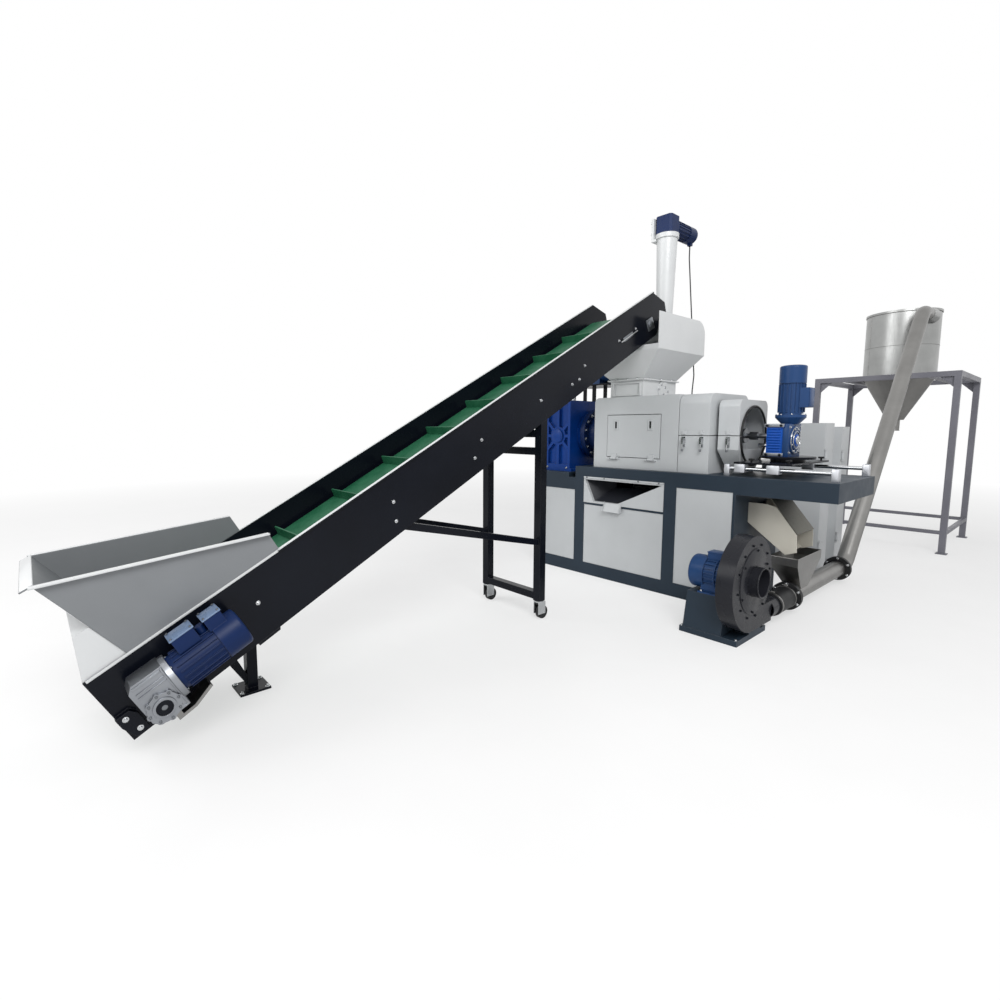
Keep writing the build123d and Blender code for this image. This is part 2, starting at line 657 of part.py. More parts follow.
def build_feeder():
    """Force feeder: tapered column, bracket, gear head and motor with its cable box."""
    x, y = FEEDER_X, FEEDER_Y
    column = loft([
        Plane(origin=(x, y, HOPPER_TOP), z_dir=(0, 0, 1)) * Circle(70),
        Plane(origin=(x, y, FEEDER_TOP - 40), z_dir=(0, 0, 1)) * Circle(90),
    ])
    column = column + rod((x, y, HOPPER_TOP), (x, y, HOPPER_TOP + 14), 110)
    column = column + rod((x, y, FEEDER_TOP - 40), (x, y, FEEDER_TOP), 102)
    half = FEEDER_HEAD
    plate = x - half - 26
    bracket = block(plate, plate + 20, y - 90, y + 90, FEEDER_TOP - 60, FEEDER_TOP + 146)
    bracket = bracket + block(plate, x - 60, y - 90, y + 90, FEEDER_TOP - 60, FEEDER_TOP - 40)
    add("feeder_column", column + bracket)
    axis_z = FEEDER_TOP + half
    head = block(x - half, x + half, y - half, y + half, FEEDER_TOP, axis_z + half)
    head = chamfer(head.edges().filter_by(Axis.Z), 18)
    length = FEEDER_MOTOR_END - y - half
    body = Pos(x, y + half, axis_z) * Rot(-90, 0, 0) * motor(half - 2, length, 18)
    y0, y1 = FEEDER_CABLE_Y - 18, FEEDER_CABLE_Y + 18
    body = body + block(x - 12, x + 24, y0, y1, FEEDER_TOP - FEEDER_GLAND_DROP, FEEDER_TOP + 30)
    add("feeder_gearmotor", head + body)


def cable(route, radii, radius):
    """Round cable along straight runs joined by tangent arcs."""
    path = FilletPolyline(*route, radius=radii)
    section = Plane(origin=path @ 0, z_dir=path % 0)
    return sweep(section * Circle(radius), path=path)


def build_feeder_cable():
    top = (FEEDER_X + 6, FEEDER_CABLE_Y, FEEDER_TOP - FEEDER_GLAND_DROP)
    x = HOPPER_RIGHT - 78
    end_y = HOUSING_HALF_DEPTH - 15
    route = [
        top, (top[0], top[1], top[2] - 110), (x - 20, top[1], THROAT_TOP + 60),
        (x, end_y, HOUSING_TOP + 70), (x, end_y, HOUSING_TOP),
    ]
    add("feeder_cable", cable(route, [150, 60, 40], CABLE_R))


# Cutter on its slide
def build_carriage():
    """Slide rails on the table and the carriage plate that runs on them."""
    shafts = (SHAFT_NEAR, SHAFT_FAR)
    for y in shafts:
        rail = rod((SHAFT_LEFT + 5, y, SHAFT_Z), (SHAFT_RIGHT - 5, y, SHAFT_Z), SHAFT_R)
        for x in (SHAFT_LEFT, SHAFT_RIGHT - 40):
            rail = rail + block(x, x + 40, y - 30, y + 30, BASE_TOP, SHAFT_Z + 30)
        add("slide_rails", rail)
    plate = block(
        PLATE_LEFT, PLATE_RIGHT, SHAFT_NEAR - PLATE_EDGE, SHAFT_FAR + PLATE_EDGE,
        PLATE_Z, PLATE_Z + PLATE_THICKNESS,
    )
    for y in shafts:
        for x0, x1 in ((PLATE_LEFT + 5, PLATE_LEFT + 80), (PLATE_RIGHT - 172, PLATE_RIGHT - 87)):
            plate = plate + block(x0, x1, y - 35, y + 35, SHAFT_Z - 30, PLATE_Z)
        plate = plate - rod(
            (PLATE_LEFT - 1, y, SHAFT_Z), (PLATE_RIGHT + 1, y, SHAFT_Z), SHAFT_R + PIN_PLAY
        )
    plate = plate + rod(
        (TURNTABLE_X, 0, PLATE_Z + PLATE_THICKNESS), (TURNTABLE_X, 0, TURNTABLE_Z - PIN_PLAY), 120
    )
    add("carriage_plate", plate)


def build_cutter():
    base = TURNTABLE_Z + TURNTABLE_THICKNESS
    add("turntable", rod((TURNTABLE_X, 0, TURNTABLE_Z), (TURNTABLE_X, 0, base), TURNTABLE_R))
    half = GEAR_HALF
    gear = block(GEAR_LEFT, GEAR_RIGHT, -half, half, base, GEAR_TOP)
    for z0 in (base, GEAR_TOP - 26):
        gear = gear + block(GEAR_LEFT - 14, GEAR_RIGHT + 14, -half - 14, half + 14, z0, z0 + 26)
    for n in range(9):
        z = base + 44 + n * 21
        gear = gear + block(GEAR_LEFT + 12, GEAR_RIGHT - 12, -half - 10, half + 10, z, z + 7)
    gear = gear + block(GEAR_RIGHT, GEAR_END, -half - 4, half + 4, base, GEAR_TOP)
    for radius, reach in ((112, 8), (80, 14), (45, 20)):
        gear = gear + rod((GEAR_END, 0, AXIS_Z - 30), (GEAR_END + reach, 0, AXIS_Z - 30), radius)
    bore = CUTTER_SHAFT_R + PIN_PLAY
    gear = gear - rod((GEAR_LEFT - 15, 0, AXIS_Z), (GEAR_LEFT + 60, 0, AXIS_Z), bore)
    gear = gear + rod((GEAR_LEFT - 100, 0, AXIS_Z - 75), (GEAR_LEFT, 0, AXIS_Z - 75), 16)
    add("cutter_gearbox", gear)
    x, r = CUTTER_MOTOR_X, CUTTER_MOTOR_R
    cone_top = GEAR_TOP + 50
    cone = loft([
        Plane(origin=(x, 0, GEAR_TOP), z_dir=(0, 0, 1)) * Circle(r * 0.66),
        Plane(origin=(x, 0, cone_top), z_dir=(0, 0, 1)) * Circle(r + 13),
    ])
    body = cone + rod((x, 0, cone_top), (x, 0, cone_top + 20), r + 13)
    body = body + Pos(x, 0, cone_top + 20) * motor(r, CUTTER_MOTOR_TOP - cone_top - 20)
    box_z = cone_top + 75
    body = body + block(x + r * 0.8, x + r + 42, -55, 55, box_z, box_z + 150)
    add("cutter_motor", body)
    blade_x = DIE_FACE + BLADE_GAP
    rotor = rod((blade_x, 0, AXIS_Z), (GEAR_LEFT + 59, 0, AXIS_Z), CUTTER_SHAFT_R)
    rotor = rotor + rod((449, 0, AXIS_Z), (518, 0, AXIS_Z), COUPLING_R)
    rotor = rotor + rod((blade_x, 0, AXIS_Z), (blade_x + 40, 0, AXIS_Z), 60)
    for n in range(4):
        rotor = rotor + Pos(blade_x + 7, 0, AXIS_Z) * Rot(90 * n, 0, 0) * (
            Pos(0, 0, BLADE_TIP_R - 35) * Box(14, 30, 70)
        )
    add("cutter_rotor", rotor)


# Blower, venturi feed and conveying pipe
def build_blower():
    half = BLOWER_WIDTH / 2
    x0, x1 = AIR_X - half, AIR_X + half
    low = AIR_Z - DUCT_HEIGHT / 2
    high = AIR_Z + DUCT_HEIGHT / 2
    first = -math.degrees(math.asin((BLOWER_Z - high) / SCROLL_MIN_R))
    last = 270.0
    turns = 12
    points = []
    for n in range(turns + 1):
        share = n / turns
        angle = math.radians(first + (last - first) * share)
        radius = SCROLL_MIN_R + (BLOWER_Z - low - SCROLL_MIN_R) * share
        points.append((BLOWER_Y + radius * math.cos(angle), BLOWER_Z + radius * math.sin(angle)))
    duct_end = BLOWER_Y + 330
    plane = Plane(origin=(x0, 0, 0), x_dir=(0, 1, 0), z_dir=(1, 0, 0))
    corners = Polyline(points[-1], (duct_end, low), (duct_end, high), points[0])
    scroll = extrude(plane * make_face([Spline(*points), corners]), BLOWER_WIDTH)
    scroll = scroll - rod((x1 - 70, BLOWER_Y, BLOWER_Z), (x1 + 1, BLOWER_Y, BLOWER_Z), INLET_R)
    scroll = scroll + pipe(
        (x1, BLOWER_Y, BLOWER_Z), (x1 + 60, BLOWER_Y, BLOWER_Z), INLET_R + 8, 8
    )
    scroll = scroll + pipe(
        (AIR_X, duct_end, AIR_Z), (AIR_X, BLOWER_END, AIR_Z), DUCT_HEIGHT / 2, 6
    )
    add("blower_volute", scroll)
    r = BLOWER_MOTOR_R
    body = Pos(x0, BLOWER_Y, BLOWER_Z) * Rot(0, -90, 0) * motor(r, 300, 22)
    body = body + block(x0 - 210, x0 - 60, BLOWER_Y - 90, BLOWER_Y + 90, BLOWER_Z - r - 12, BLOWER_Z - 60)
    box_z = BLOWER_Z + r * 0.8
    body = body + block(x0 - 190, x0 - 90, BLOWER_Y - 45, BLOWER_Y + 45, box_z, BLOWER_Z + r + 34)
    add("blower_motor", body)
    seat = BLOWER_Z - r - 12
    cy = BLOWER_Y
    stand = block(x0 - 310, x1 - 20, cy - 178, cy + 290, 0, 40)
    outer = [(cy - 170, 40), (cy + 170, 40), (cy + 120, seat), (cy - 120, seat)]
    stand = stand + along_x(outer, x0 - 290, x0 - 20)
    inner = [(cy - 140, 40), (cy + 140, 40), (cy + 96, seat - 20), (cy - 96, seat - 20)]
    stand = stand - along_x(inner, x0 - 282, x0 - 28)
    foot = block(x0, x1 - 20, cy + 10, cy + 200, 40, low)
    add("blower_stand", stand + foot)


def build_air_line():
    sleeve = 14.0
    coupling = pipe((AIR_X, BLOWER_END, AIR_Z), (AIR_X, PIPE_NEAR, AIR_Z), PIPE_R + sleeve, sleeve)
    collar = RING_R - PIPE_R
    near_ring = pipe((AIR_X, PIPE_NEAR - 20, AIR_Z), (AIR_X, PIPE_NEAR + 20, AIR_Z), RING_R, collar)
    coupling = coupling + near_ring
    ring = pipe((AIR_X, PIPE_FAR - 40, AIR_Z), (AIR_X, PIPE_FAR, AIR_Z), RING_R, collar)
    add("pipe_couplings", coupling, ring)
    straight = pipe((AIR_X, PIPE_NEAR, AIR_Z), (AIR_X, PIPE_FAR, AIR_Z), PIPE_R, PIPE_WALL)
    straight = straight - rod((AIR_X, 50, AIR_Z), (AIR_X, 50, AIR_Z + 100), 48)
    low = (AIR_X - 55, AIR_X + 55, -15.0, 115.0)
    rim = (AIR_X - 100, AIR_X + 100, -267.0, 246.0)
    z0, z1 = AIR_Z + 30, VENTURI_RIM - 60
    hopper = frustum(low, rim, z0, z1, 0) - frustum(low, rim, z0, z1, 4)
    hopper = hopper - rod((AIR_X, -300, AIR_Z), (AIR_X, 300, AIR_Z), PIPE_R - PIPE_WALL / 2)
    x0, x1, y0, y1 = rim
    box = block(x0, x1, y0, y1, z1, VENTURI_RIM)
    box = box - block(x0 + 4, x1 - 4, y0 + 4, y1 - 4, z1 - 1, VENTURI_RIM + 1)
    add("venturi_feeder", straight + hopper + box)
    build_chute()
    build_riser()


def build_chute():
    """Sloping trough from the base to the venturi hopper, with its deflector plate."""
    y0, y1, sheet = CHUTE_LEFT_Y, CHUTE_RIGHT_Y, 6.0
    foot_x, foot_z = AIR_X - 20, VENTURI_RIM + 15
    floor = [
        (BASE_RIGHT, CHUTE_LOW - sheet), (BASE_RIGHT + 8, CHUTE_LOW), (foot_x, foot_z),
        (foot_x - sheet, foot_z - sheet), (BASE_RIGHT, CHUTE_LOW - 16),
    ]
    chute = along_y(floor, y0, y1)
    (top_x, top_z), (low_x, low_z) = DEFLECTOR_TOP, DEFLECTOR_LOW
    share = 0.263
    cheek = [
        (BASE_RIGHT, CHUTE_LOW - 16), (foot_x, foot_z - 10), (foot_x + 80, foot_z + 20), (low_x, low_z),
        (top_x + share * (low_x - top_x), top_z + share * (low_z - top_z)), (top_x - 10, CHUTE_SIDE_TOP),
        (BASE_RIGHT, CHUTE_SIDE_TOP),
    ]
    chute = chute + along_y(cheek, y0 - sheet, y0) + along_y(cheek, y1, y1 + sheet)
    add("pellet_chute", chute)
    plate = [(top_x, top_z), (top_x + sheet, top_z + 4), (low_x + sheet, low_z + 4), (low_x, low_z)]
    add("chute_deflector", along_y(plate, y0 - sheet, y1 + sheet))


def build_riser():
    """Conveying pipe that climbs from the line to the side of the silo."""
    entry_x = SILO_X + PIPE_ENTRY_OFFSET
    entry_z = SILO_TOP - PIPE_ENTRY_DROP
    bend = 2 * PIPE_R + 50
    route = [
        (AIR_X, PIPE_FAR, AIR_Z),
        (AIR_X, PIPE_FAR + bend - 20, AIR_Z),
        (entry_x, SILO_Y - SILO_R - 1.25 * bend, entry_z),
        (entry_x, SILO_Y - 60, entry_z),
    ]
    path = FilletPolyline(*route, radius=bend)
    section = Plane(origin=path @ 0, z_dir=path % 0)
    ring_face = section * (Circle(PIPE_R) - Circle(PIPE_R - PIPE_WALL))
    add("riser_pipe", sweep(ring_face, path=path))


# Silo
def build_silo():
    centre = (SILO_X, SILO_Y)
    shell = pipe((*centre, SILO_FRAME_TOP), (*centre, SILO_TOP), SILO_R, SILO_WALL)
    shell = shell + pipe((*centre, SILO_FRAME_TOP), (*centre, SILO_FRAME_TOP + 8), SILO_R + 75, 77)
    shell = shell + pipe((*centre, SILO_TOP - 24), (*centre, SILO_TOP), SILO_R + 8, 10)
    entry_x = SILO_X + PIPE_ENTRY_OFFSET
    entry_z = SILO_TOP - PIPE_ENTRY_DROP
    y0 = SILO_Y - SILO_R - 20
    cone = loft([
        Plane(origin=(entry_x, y0, entry_z), z_dir=(0, 1, 0)) * Circle(PIPE_R + 4),
        Plane(origin=(entry_x, y0 + 200, entry_z), z_dir=(0, 1, 0)) * Circle(PIPE_R + 22),
    ])
    cone = cone - rod((*centre, SILO_FRAME_TOP), (*centre, SILO_TOP + 1), SILO_R - SILO_WALL / 2)
    shell = shell + cone
    shell = shell - rod((entry_x, y0 - 1, entry_z), (entry_x, SILO_Y, entry_z), PIPE_R + PIN_PLAY)
    add("silo_shell", shell)
    low = SILO_CONE_LOW
    wide, narrow = SILO_R, 88.0
    profile = [
        (narrow, low), (wide, SILO_FRAME_TOP), (wide - SILO_WALL, SILO_FRAME_TOP),
        (narrow - SILO_WALL - 4, low + 8), (52, low + 8), (52, low - 140), (47, low - 140), (47, low),
    ]
    plane = Plane(origin=(SILO_X, SILO_Y, 0), x_dir=(1, 0, 0), z_dir=(0, -1, 0))
    cone = revolve(plane * outline(profile), axis=Axis((SILO_X, SILO_Y, 0), (0, 0, 1)))
    add("silo_cone", cone)


def build_silo_frame():
    """Four legs with a top ring, two carrying beams, low rails and gussets."""
    x0, x1 = SILO_X + SILO_FRAME_X[0], SILO_X + SILO_FRAME_X[1]
    y0, y1 = SILO_Y + SILO_FRAME_Y[0], SILO_Y + SILO_FRAME_Y[1]
    s = SILO_LEG
    top = SILO_FRAME_TOP
    frame = block(x0, x1, y0, y1, top - s, top)
    frame = frame - block(x0 + s, x1 - s, y0 + s, y1 - s, top - s - 1, top + 1)
    beam = SILO_R + 8
    for x in (SILO_X - beam - s, SILO_X + beam):
        frame = frame + block(x, x + s, y0, y1, top - s, top)
    rails = block(x0, x1, y0, y1, SILO_LOW_RAIL, SILO_LOW_RAIL + 40)
    rails = rails - block(
        x0 + 40, x1 - 40, y0 + 40, y1 - 40, SILO_LOW_RAIL - 1, SILO_LOW_RAIL + 41
    )
    frame = frame + rails
    reach = 2 * s
    for x, inward in ((x0, 1), (x1 - s, -1)):
        corner = x + s if inward > 0 else x
        gusset = [(corner, top - s), (corner + inward * reach, top - s), (corner, top - s - reach)]
        for y in (y0, y1 - s):
            frame = frame + block(x, x + s, y, y + s, 0, top - s)
            frame = frame + along_y(gusset, y + s / 2 - 4, y + s / 2 + 4)
            frame = frame + block(x - 20, x + s + 20, y - 20, y + s + 20, 0, 10)
    add("silo_frame", frame)


# Control cabinets
def build_cabinets():
    for name, x0, x1, y0, y1, height in CABINETS:
        door_t = 20.0
        body = block(x0, x1, y0 + door_t + COVER_GAP, y1, 0, height)
        hinge_x, hinge_y = x1 + 12, y0 + 8
        door = block(x0, x1, y0, y0 + door_t, 60, height - 10)
        for z in (300.0, height - 300):
            door = door + rod((hinge_x, hinge_y, z - 30), (hinge_x, hinge_y, z + 30), KNUCKLE_R)
            door = door + block(x1 - 1, hinge_x, hinge_y - 4, hinge_y + 4, z - 30, z + 30)
            door = door - rod(
                (hinge_x, hinge_y, z - 31), (hinge_x, hinge_y, z + 31), PIN_R + PIN_PLAY
            )
            body = body + rod((hinge_x, hinge_y, z - 50), (hinge_x, hinge_y, z + 50), PIN_R)
            for side in (-1, 1):
                zz = z + side * 43
                body = body + block(hinge_x - 8, hinge_x + 8, hinge_y - 8, y0 + 60, zz - 7, zz + 7)
                body = body + block(x1 - 1, hinge_x, y0 + 40, y0 + 60, zz - 7, zz + 7)
        lock_z = height - 190
        door = door + rod((x0 + 60, y0 - 10, lock_z), (x0 + 60, y0 + 1, lock_z), 12)
        add("control_cabinets", body)
        add("cabinet_door_" + name, door)


# Feed conveyor
def underside_z(y):
    """Height of the conveyor side panels' lower edge at a place along Y."""
    s = (y - CONVEYOR_TAIL_Y - SIDE_DEPTH * math.sin(INCLINE)) / math.cos(INCLINE)
    return CONVEYOR_TAIL_Z + s * math.sin(INCLINE) - SIDE_DEPTH * math.cos(INCLINE)


def build_conveyor_sides():
    near, far = CONVEYOR_NEAR_X, CONVEYOR_FAR_X
    end = SIDE_LENGTH + NOSE_LENGTH
    low = SIDE_LENGTH - 95
    profile = [
        (0, 0), (SIDE_LENGTH, 0), (end, -145), (end - 12, -230), (low, -SIDE_DEPTH), (0, -SIDE_DEPTH),
    ]
    sheet = SIDE_SHEET
    drum_t = BELT_T - BELT_LOOP_DEPTH / 2
    for outer, inward in ((near, -1), (far, 1)):
        inner = outer + inward * sheet
        side = on_slope(profile, min(outer, inner), max(outer, inner))
        lip = outer + inward * SIDE_FLANGE
        x0, x1 = min(outer, lip), max(outer, lip)
        band = [(0, -SIDE_DEPTH), (low, -SIDE_DEPTH), (low, -SIDE_DEPTH + sheet),
                (0, -SIDE_DEPTH + sheet)]
        side = side + on_slope(band, x0, x1)
        fold = outer - inward * 14
        start = INTAKE_HEAD_S - 6
        rim = [(start, -sheet), (SIDE_LENGTH, -sheet), (SIDE_LENGTH, 0), (start, 0)]
        side = side + on_slope(rim, min(fold, inner), max(fold, inner))
        slot = [
            (SIDE_LENGTH + TAKE_UP_SLOT[0], -216), (SIDE_LENGTH + TAKE_UP_SLOT[1], -216),
            (SIDE_LENGTH + TAKE_UP_SLOT[1], -192), (SIDE_LENGTH + TAKE_UP_SLOT[0], -192),
        ]
        side = side - on_slope(slot, min(outer, inner) - 1, max(outer, inner) + 1)
        for s in (TAIL_DRUM_S, HEAD_DRUM_S):
            side = side - rod(
                slope_point(s, drum_t, min(outer, inner) - 1),
                slope_point(s, drum_t, max(outer, inner) + 1), DRUM_SHAFT_R + PIN_PLAY,
            )
        if outer == near:
            bearing = [(0, -208), (58, -208), (78, -240), (78, -335), (20, -328), (0, -257)]
            side = side + on_slope(bearing, near, near + 30)
        add("conveyor_sides", side)


def build_conveyor():
    near, far = CONVEYOR_NEAR_X, CONVEYOR_FAR_X
    sheet = SIDE_SHEET
    drum_t = BELT_T - BELT_LOOP_DEPTH / 2
    x0, x1 = far + SIDE_FLANGE + 10, near - SIDE_FLANGE - 10
    radius = BELT_LOOP_DEPTH / 2
    bed_top = BELT_T - BELT_THICKNESS - PIN_PLAY
    s0, s1 = TAIL_DRUM_S + radius + 10, HEAD_DRUM_S - radius - 10
    bed = on_slope([(s0, bed_top - 10), (s1, bed_top - 10), (s1, bed_top), (s0, bed_top)], x0, x1)
    for n in range(6):
        s = s0 + 40 + n * (s1 - s0 - 120) / 5
        low = bed_top - 50
        bed = bed + on_slope(
            [(s, low), (s + 40, low), (s + 40, bed_top - 10), (s, bed_top - 10)], far + sheet, near - sheet
        )
    add("conveyor_bed", bed)
    plane = slope_plane(x0) * Pos((TAIL_DRUM_S + HEAD_DRUM_S) / 2, drum_t)
    length = HEAD_DRUM_S - TAIL_DRUM_S
    inner_r = radius - BELT_THICKNESS
    loop = SlotCenterToCenter(length, 2 * radius) - SlotCenterToCenter(length, 2 * inner_r)
    belt = extrude(plane * loop, x1 - x0)
    for n in range(CLEAT_COUNT):
        s = TAIL_DRUM_S + 73 + (length - 2 * 73) / CLEAT_COUNT * n
        top = BELT_T + CLEAT_HEIGHT
        belt = belt + on_slope(
            [(s, BELT_T - 1), (s + 24, BELT_T - 1), (s + 15, top), (s + 7, top)], x0 + 20, x1 - 20
        )
    add("conveyor_belt", belt)
    for s in (TAIL_DRUM_S, HEAD_DRUM_S):
        drum = rod(slope_point(s, drum_t, x0 + 4), slope_point(s, drum_t, x1 - 4), inner_r - PIN_PLAY)
        reach = near + DRIVE_OFFSET + 20 if s == TAIL_DRUM_S else near + 30
        drum = drum + rod(slope_point(s, drum_t, far - 30), slope_point(s, drum_t, reach), DRUM_SHAFT_R)
        add("conveyor_drums", drum)


def build_conveyor_hopper():
    """White side walls with folded rims round the loading end, and the tail plate."""
    near, far = CONVEYOR_NEAR_X, CONVEYOR_FAR_X
    sheet = SIDE_SHEET
    tail_s, tail_t, foot = INTAKE_TAIL_S, INTAKE_TAIL_T, INTAKE_FOOT_S
    head_s, head_t = INTAKE_HEAD_S, INTAKE_HEAD_T
    wall = [
        (tail_s, tail_t), (tail_s + 7, tail_t - 23), (foot, 0), (head_s + 4, 0), (head_s, head_t),
    ]
    rim = [
        (tail_s - 6, tail_t + 7), (tail_s, tail_t), (head_s, head_t - 6), (head_s, head_t + 2),
    ]
    edges = ((near - sheet, near, near + INTAKE_RIM), (far, far + sheet, far - INTAKE_RIM))
    for x0, x1, out in edges:
        side = on_slope(wall, x0, x1)
        add("conveyor_hopper", side + on_slope(rim, min(x0, out), max(x1, out)))
    plate = [(tail_s, tail_t), (tail_s + sheet, tail_t), (foot + sheet + 2, 0), (foot, 0)]
    tail = on_slope(plate, far + sheet, near - sheet)
    fold = [
        (tail_s - 40, tail_t + 4), (tail_s + sheet, tail_t + 4), (tail_s + sheet, tail_t - 2),
        (tail_s - 40, tail_t - 2),
    ]
    add("conveyor_hopper", tail + on_slope(fold, far, near))
    top = TAIL_COVER_T
    shell = [(0, 0), (foot - 1, 0), (foot - 42, top), (foot - 108, top)]
    hollow = [(12, -1), (foot - 14, -1), (foot - 52, top - 11), (foot - 100, top - 11)]
    cover = on_slope(shell, far + sheet, near - sheet) - on_slope(
        hollow, far + 2 * sheet, near - 2 * sheet
    )
    add("tail_cover", cover)


def build_conveyor_drive():
    near = CONVEYOR_NEAR_X
    x0 = near + 40
    x1 = near + DRIVE_OFFSET + 20
    drum_t = BELT_T - BELT_LOOP_DEPTH / 2
    face = x1 - 12
    body = [(128, -293), (254, -293), (254, -70), (128, -70), (106, -96), (106, -262)]
    gear = on_slope(body, x0, face)
    gear = gear + rod(slope_point(TAIL_DRUM_S, drum_t, face), slope_point(TAIL_DRUM_S, drum_t, x1), 66)
    for n in range(8):
        angle = math.radians(45 * n)
        s, t = TAIL_DRUM_S + 60 * math.cos(angle), drum_t + 60 * math.sin(angle)
        gear = gear + rod(slope_point(s, t, face), slope_point(s, t, x1), 13)
    gear = gear - rod(
        slope_point(TAIL_DRUM_S, drum_t, x0 - 1), slope_point(TAIL_DRUM_S, drum_t, x1 + 1),
        DRUM_SHAFT_R + PIN_PLAY,
    )
    middle = (x0 + x1) / 2
    flange0 = slope_point(254, DRIVE_MOTOR_T, middle)
    flange1 = slope_point(278, DRIVE_MOTOR_T, middle)
    gear = gear + rod(flange0, flange1, 104)
    add("conveyor_gearbox", gear)
    place = Pos(*flange1) * Rot(math.degrees(INCLINE), 0, 0) * Rot(-90, 0, 0)
    body = place * motor(DRIVE_MOTOR_R, DRIVE_MOTOR_LENGTH, 20)
    low = DRIVE_MOTOR_T + DRIVE_MOTOR_R - 16
    for s0, s1, high in ((333, 432, -14), (476, 554, -22)):
        body = body + on_slope([(s0, low), (s1, low), (s1, high), (s0, high)], middle - 45, middle + 45)
    body = body + rod(slope_point(454, low, middle), slope_point(454, -40, middle), 20)
    add("conveyor_motor", body)
    band = [(180, -360), (263, -358), (358, -325), (352, -311), (261, -344), (180, -346)]
    arm = on_slope(band, near, x0 + 60)
    link = on_slope([(180, -346), (206, -346), (206, -293), (180, -293)], x0 + 20, x0 + 60)
    add("torque_arm", arm + link)


def along_run(share):
    """Place along Y at a share of the conveyor's run."""
    return CONVEYOR_TAIL_Y + share * CONVEYOR_RUN


def build_foot():
    """Single leg under the loading end with its floor plate and brace."""
    half = FOOT_WIDTH / 2
    x0, x1 = FOOT_X - half, FOOT_X + half
    y0, y1 = along_run(FOOT_SHARE) - 55, along_run(FOOT_SHARE) + 50
    near, far = CONVEYOR_NEAR_X, CONVEYOR_FAR_X
    post = [
        (y0 + 25, 10), (y1 - 25, 10), (y1 - 25, underside_z(y1 - 25)), (y0 + 25, underside_z(y0 + 25)),
    ]
    leg = along_x(post, x0, x1)
    leg = leg + block(x0 - 50, x1 + 50, y0 - 30, y1 + 30, 0, 12)
    high = [(y0, underside_z(y0)), (y1, underside_z(y1))]
    low = [(y, z - 16) for y, z in reversed(high)]
    leg = leg + along_x(high + low, far, near)
    back = y0 - 150
    brace = [(back, underside_z(back)), (back + 55, underside_z(back + 55)), (y0 + 26, 90), (y0 + 26, 30)]
    leg = leg + along_x(brace, x0 + 10, x1 - 10)
    add("conveyor_foot", leg)


def build_trolley():
    """Wheeled cross frame under the middle of the conveyor with its long braces."""
    near, far = CONVEYOR_NEAR_X, CONVEYOR_FAR_X
    size = TUBE
    y0, y1 = along_run(TROLLEY_SHARE) - size / 2, along_run(TROLLEY_SHARE) + size / 2
    frame = block(far + size, near - size, y0, y1, 155, 210)
    top = underside_z(y0)
    for z0 in (top - 230, top - 100):
        frame = frame + block(far + size - 1, near - size + 1, y0, y1, z0, z0 + 55)
    brace_y = along_run(BRACE_SHARE)
    low = 0.68 * underside_z(brace_y)
    for x0, x1 in ((near - size, near), (far, far + size)):
        leg = [(y0, CASTER_TOP), (y1, CASTER_TOP), (y1, underside_z(y1)), (y0, underside_z(y0))]
        frame = frame + along_x(leg, x0, x1)
        brace = [
            (brace_y, underside_z(brace_y)), (brace_y + size, underside_z(brace_y + size)),
            (y0 + 1, low + 45), (y0 + 1, low),
        ]
        frame = frame + along_x(brace, x0 + 14, x1 - 14)
    add("trolley_frame", frame)


def build_casters():
    near, far = CONVEYOR_NEAR_X, CONVEYOR_FAR_X
    for name, cx in (("right", near - TUBE / 2), ("left", far + TUBE / 2)):
        cy = along_run(TROLLEY_SHARE)
        wheel_y = cy + CASTER_TRAIL
        fork = rod((cx, cy, 135), (cx, cy, CASTER_TOP - PIN_PLAY), 38)
        for side in (-1, 1):
            fork = fork + block(
                cx + side * 24 - 3, cx + side * 24 + 3, cy - 30, wheel_y + 15, 42, 136
            )
        fork = fork + rod((cx - 30, wheel_y, CASTER_R), (cx + 30, wheel_y, CASTER_R), 7)
        wheel = rod((cx - 16, wheel_y, CASTER_R), (cx + 16, wheel_y, CASTER_R), CASTER_R)
        wheel = wheel - rod(
            (cx - 17, wheel_y, CASTER_R), (cx + 17, wheel_y, CASTER_R), 7 + PIN_PLAY
        )
        add("caster_fork_" + name, fork)
        add("caster_wheel_" + name, wheel)


def main():
    build_base()
    build_scoop()
    build_drive()
    build_housing()
    build_end_housing()
    build_chamber()
    build_latches()
    build_throat()
    build_feed()
    build_feeder()
    build_feeder_cable()
    build_carriage()
    build_cutter()
    build_blower()
    build_air_line()
    build_silo()
    build_silo_frame()
    build_cabinets()
    build_conveyor_sides()
    build_conveyor()
    build_conveyor_hopper()
    build_conveyor_drive()
    build_foot()
    build_trolley()
    build_casters()
    os.makedirs("parts", exist_ok=True)
    for name, solids in parts.items():
        shape = solids[0] if len(solids) == 1 else Compound(children=solids)
        export_step(shape, "parts/" + name + ".step")


if __name__ == "__main__":
    main()
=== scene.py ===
"""Looks of a plastic pelletizing line: paints, metals, rubber, fasteners, trims, studio and camera.

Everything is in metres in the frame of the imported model: +X along the barrel towards the cutter,
+Y away from the feeding side, +Z up, with the floor at zero.
"""

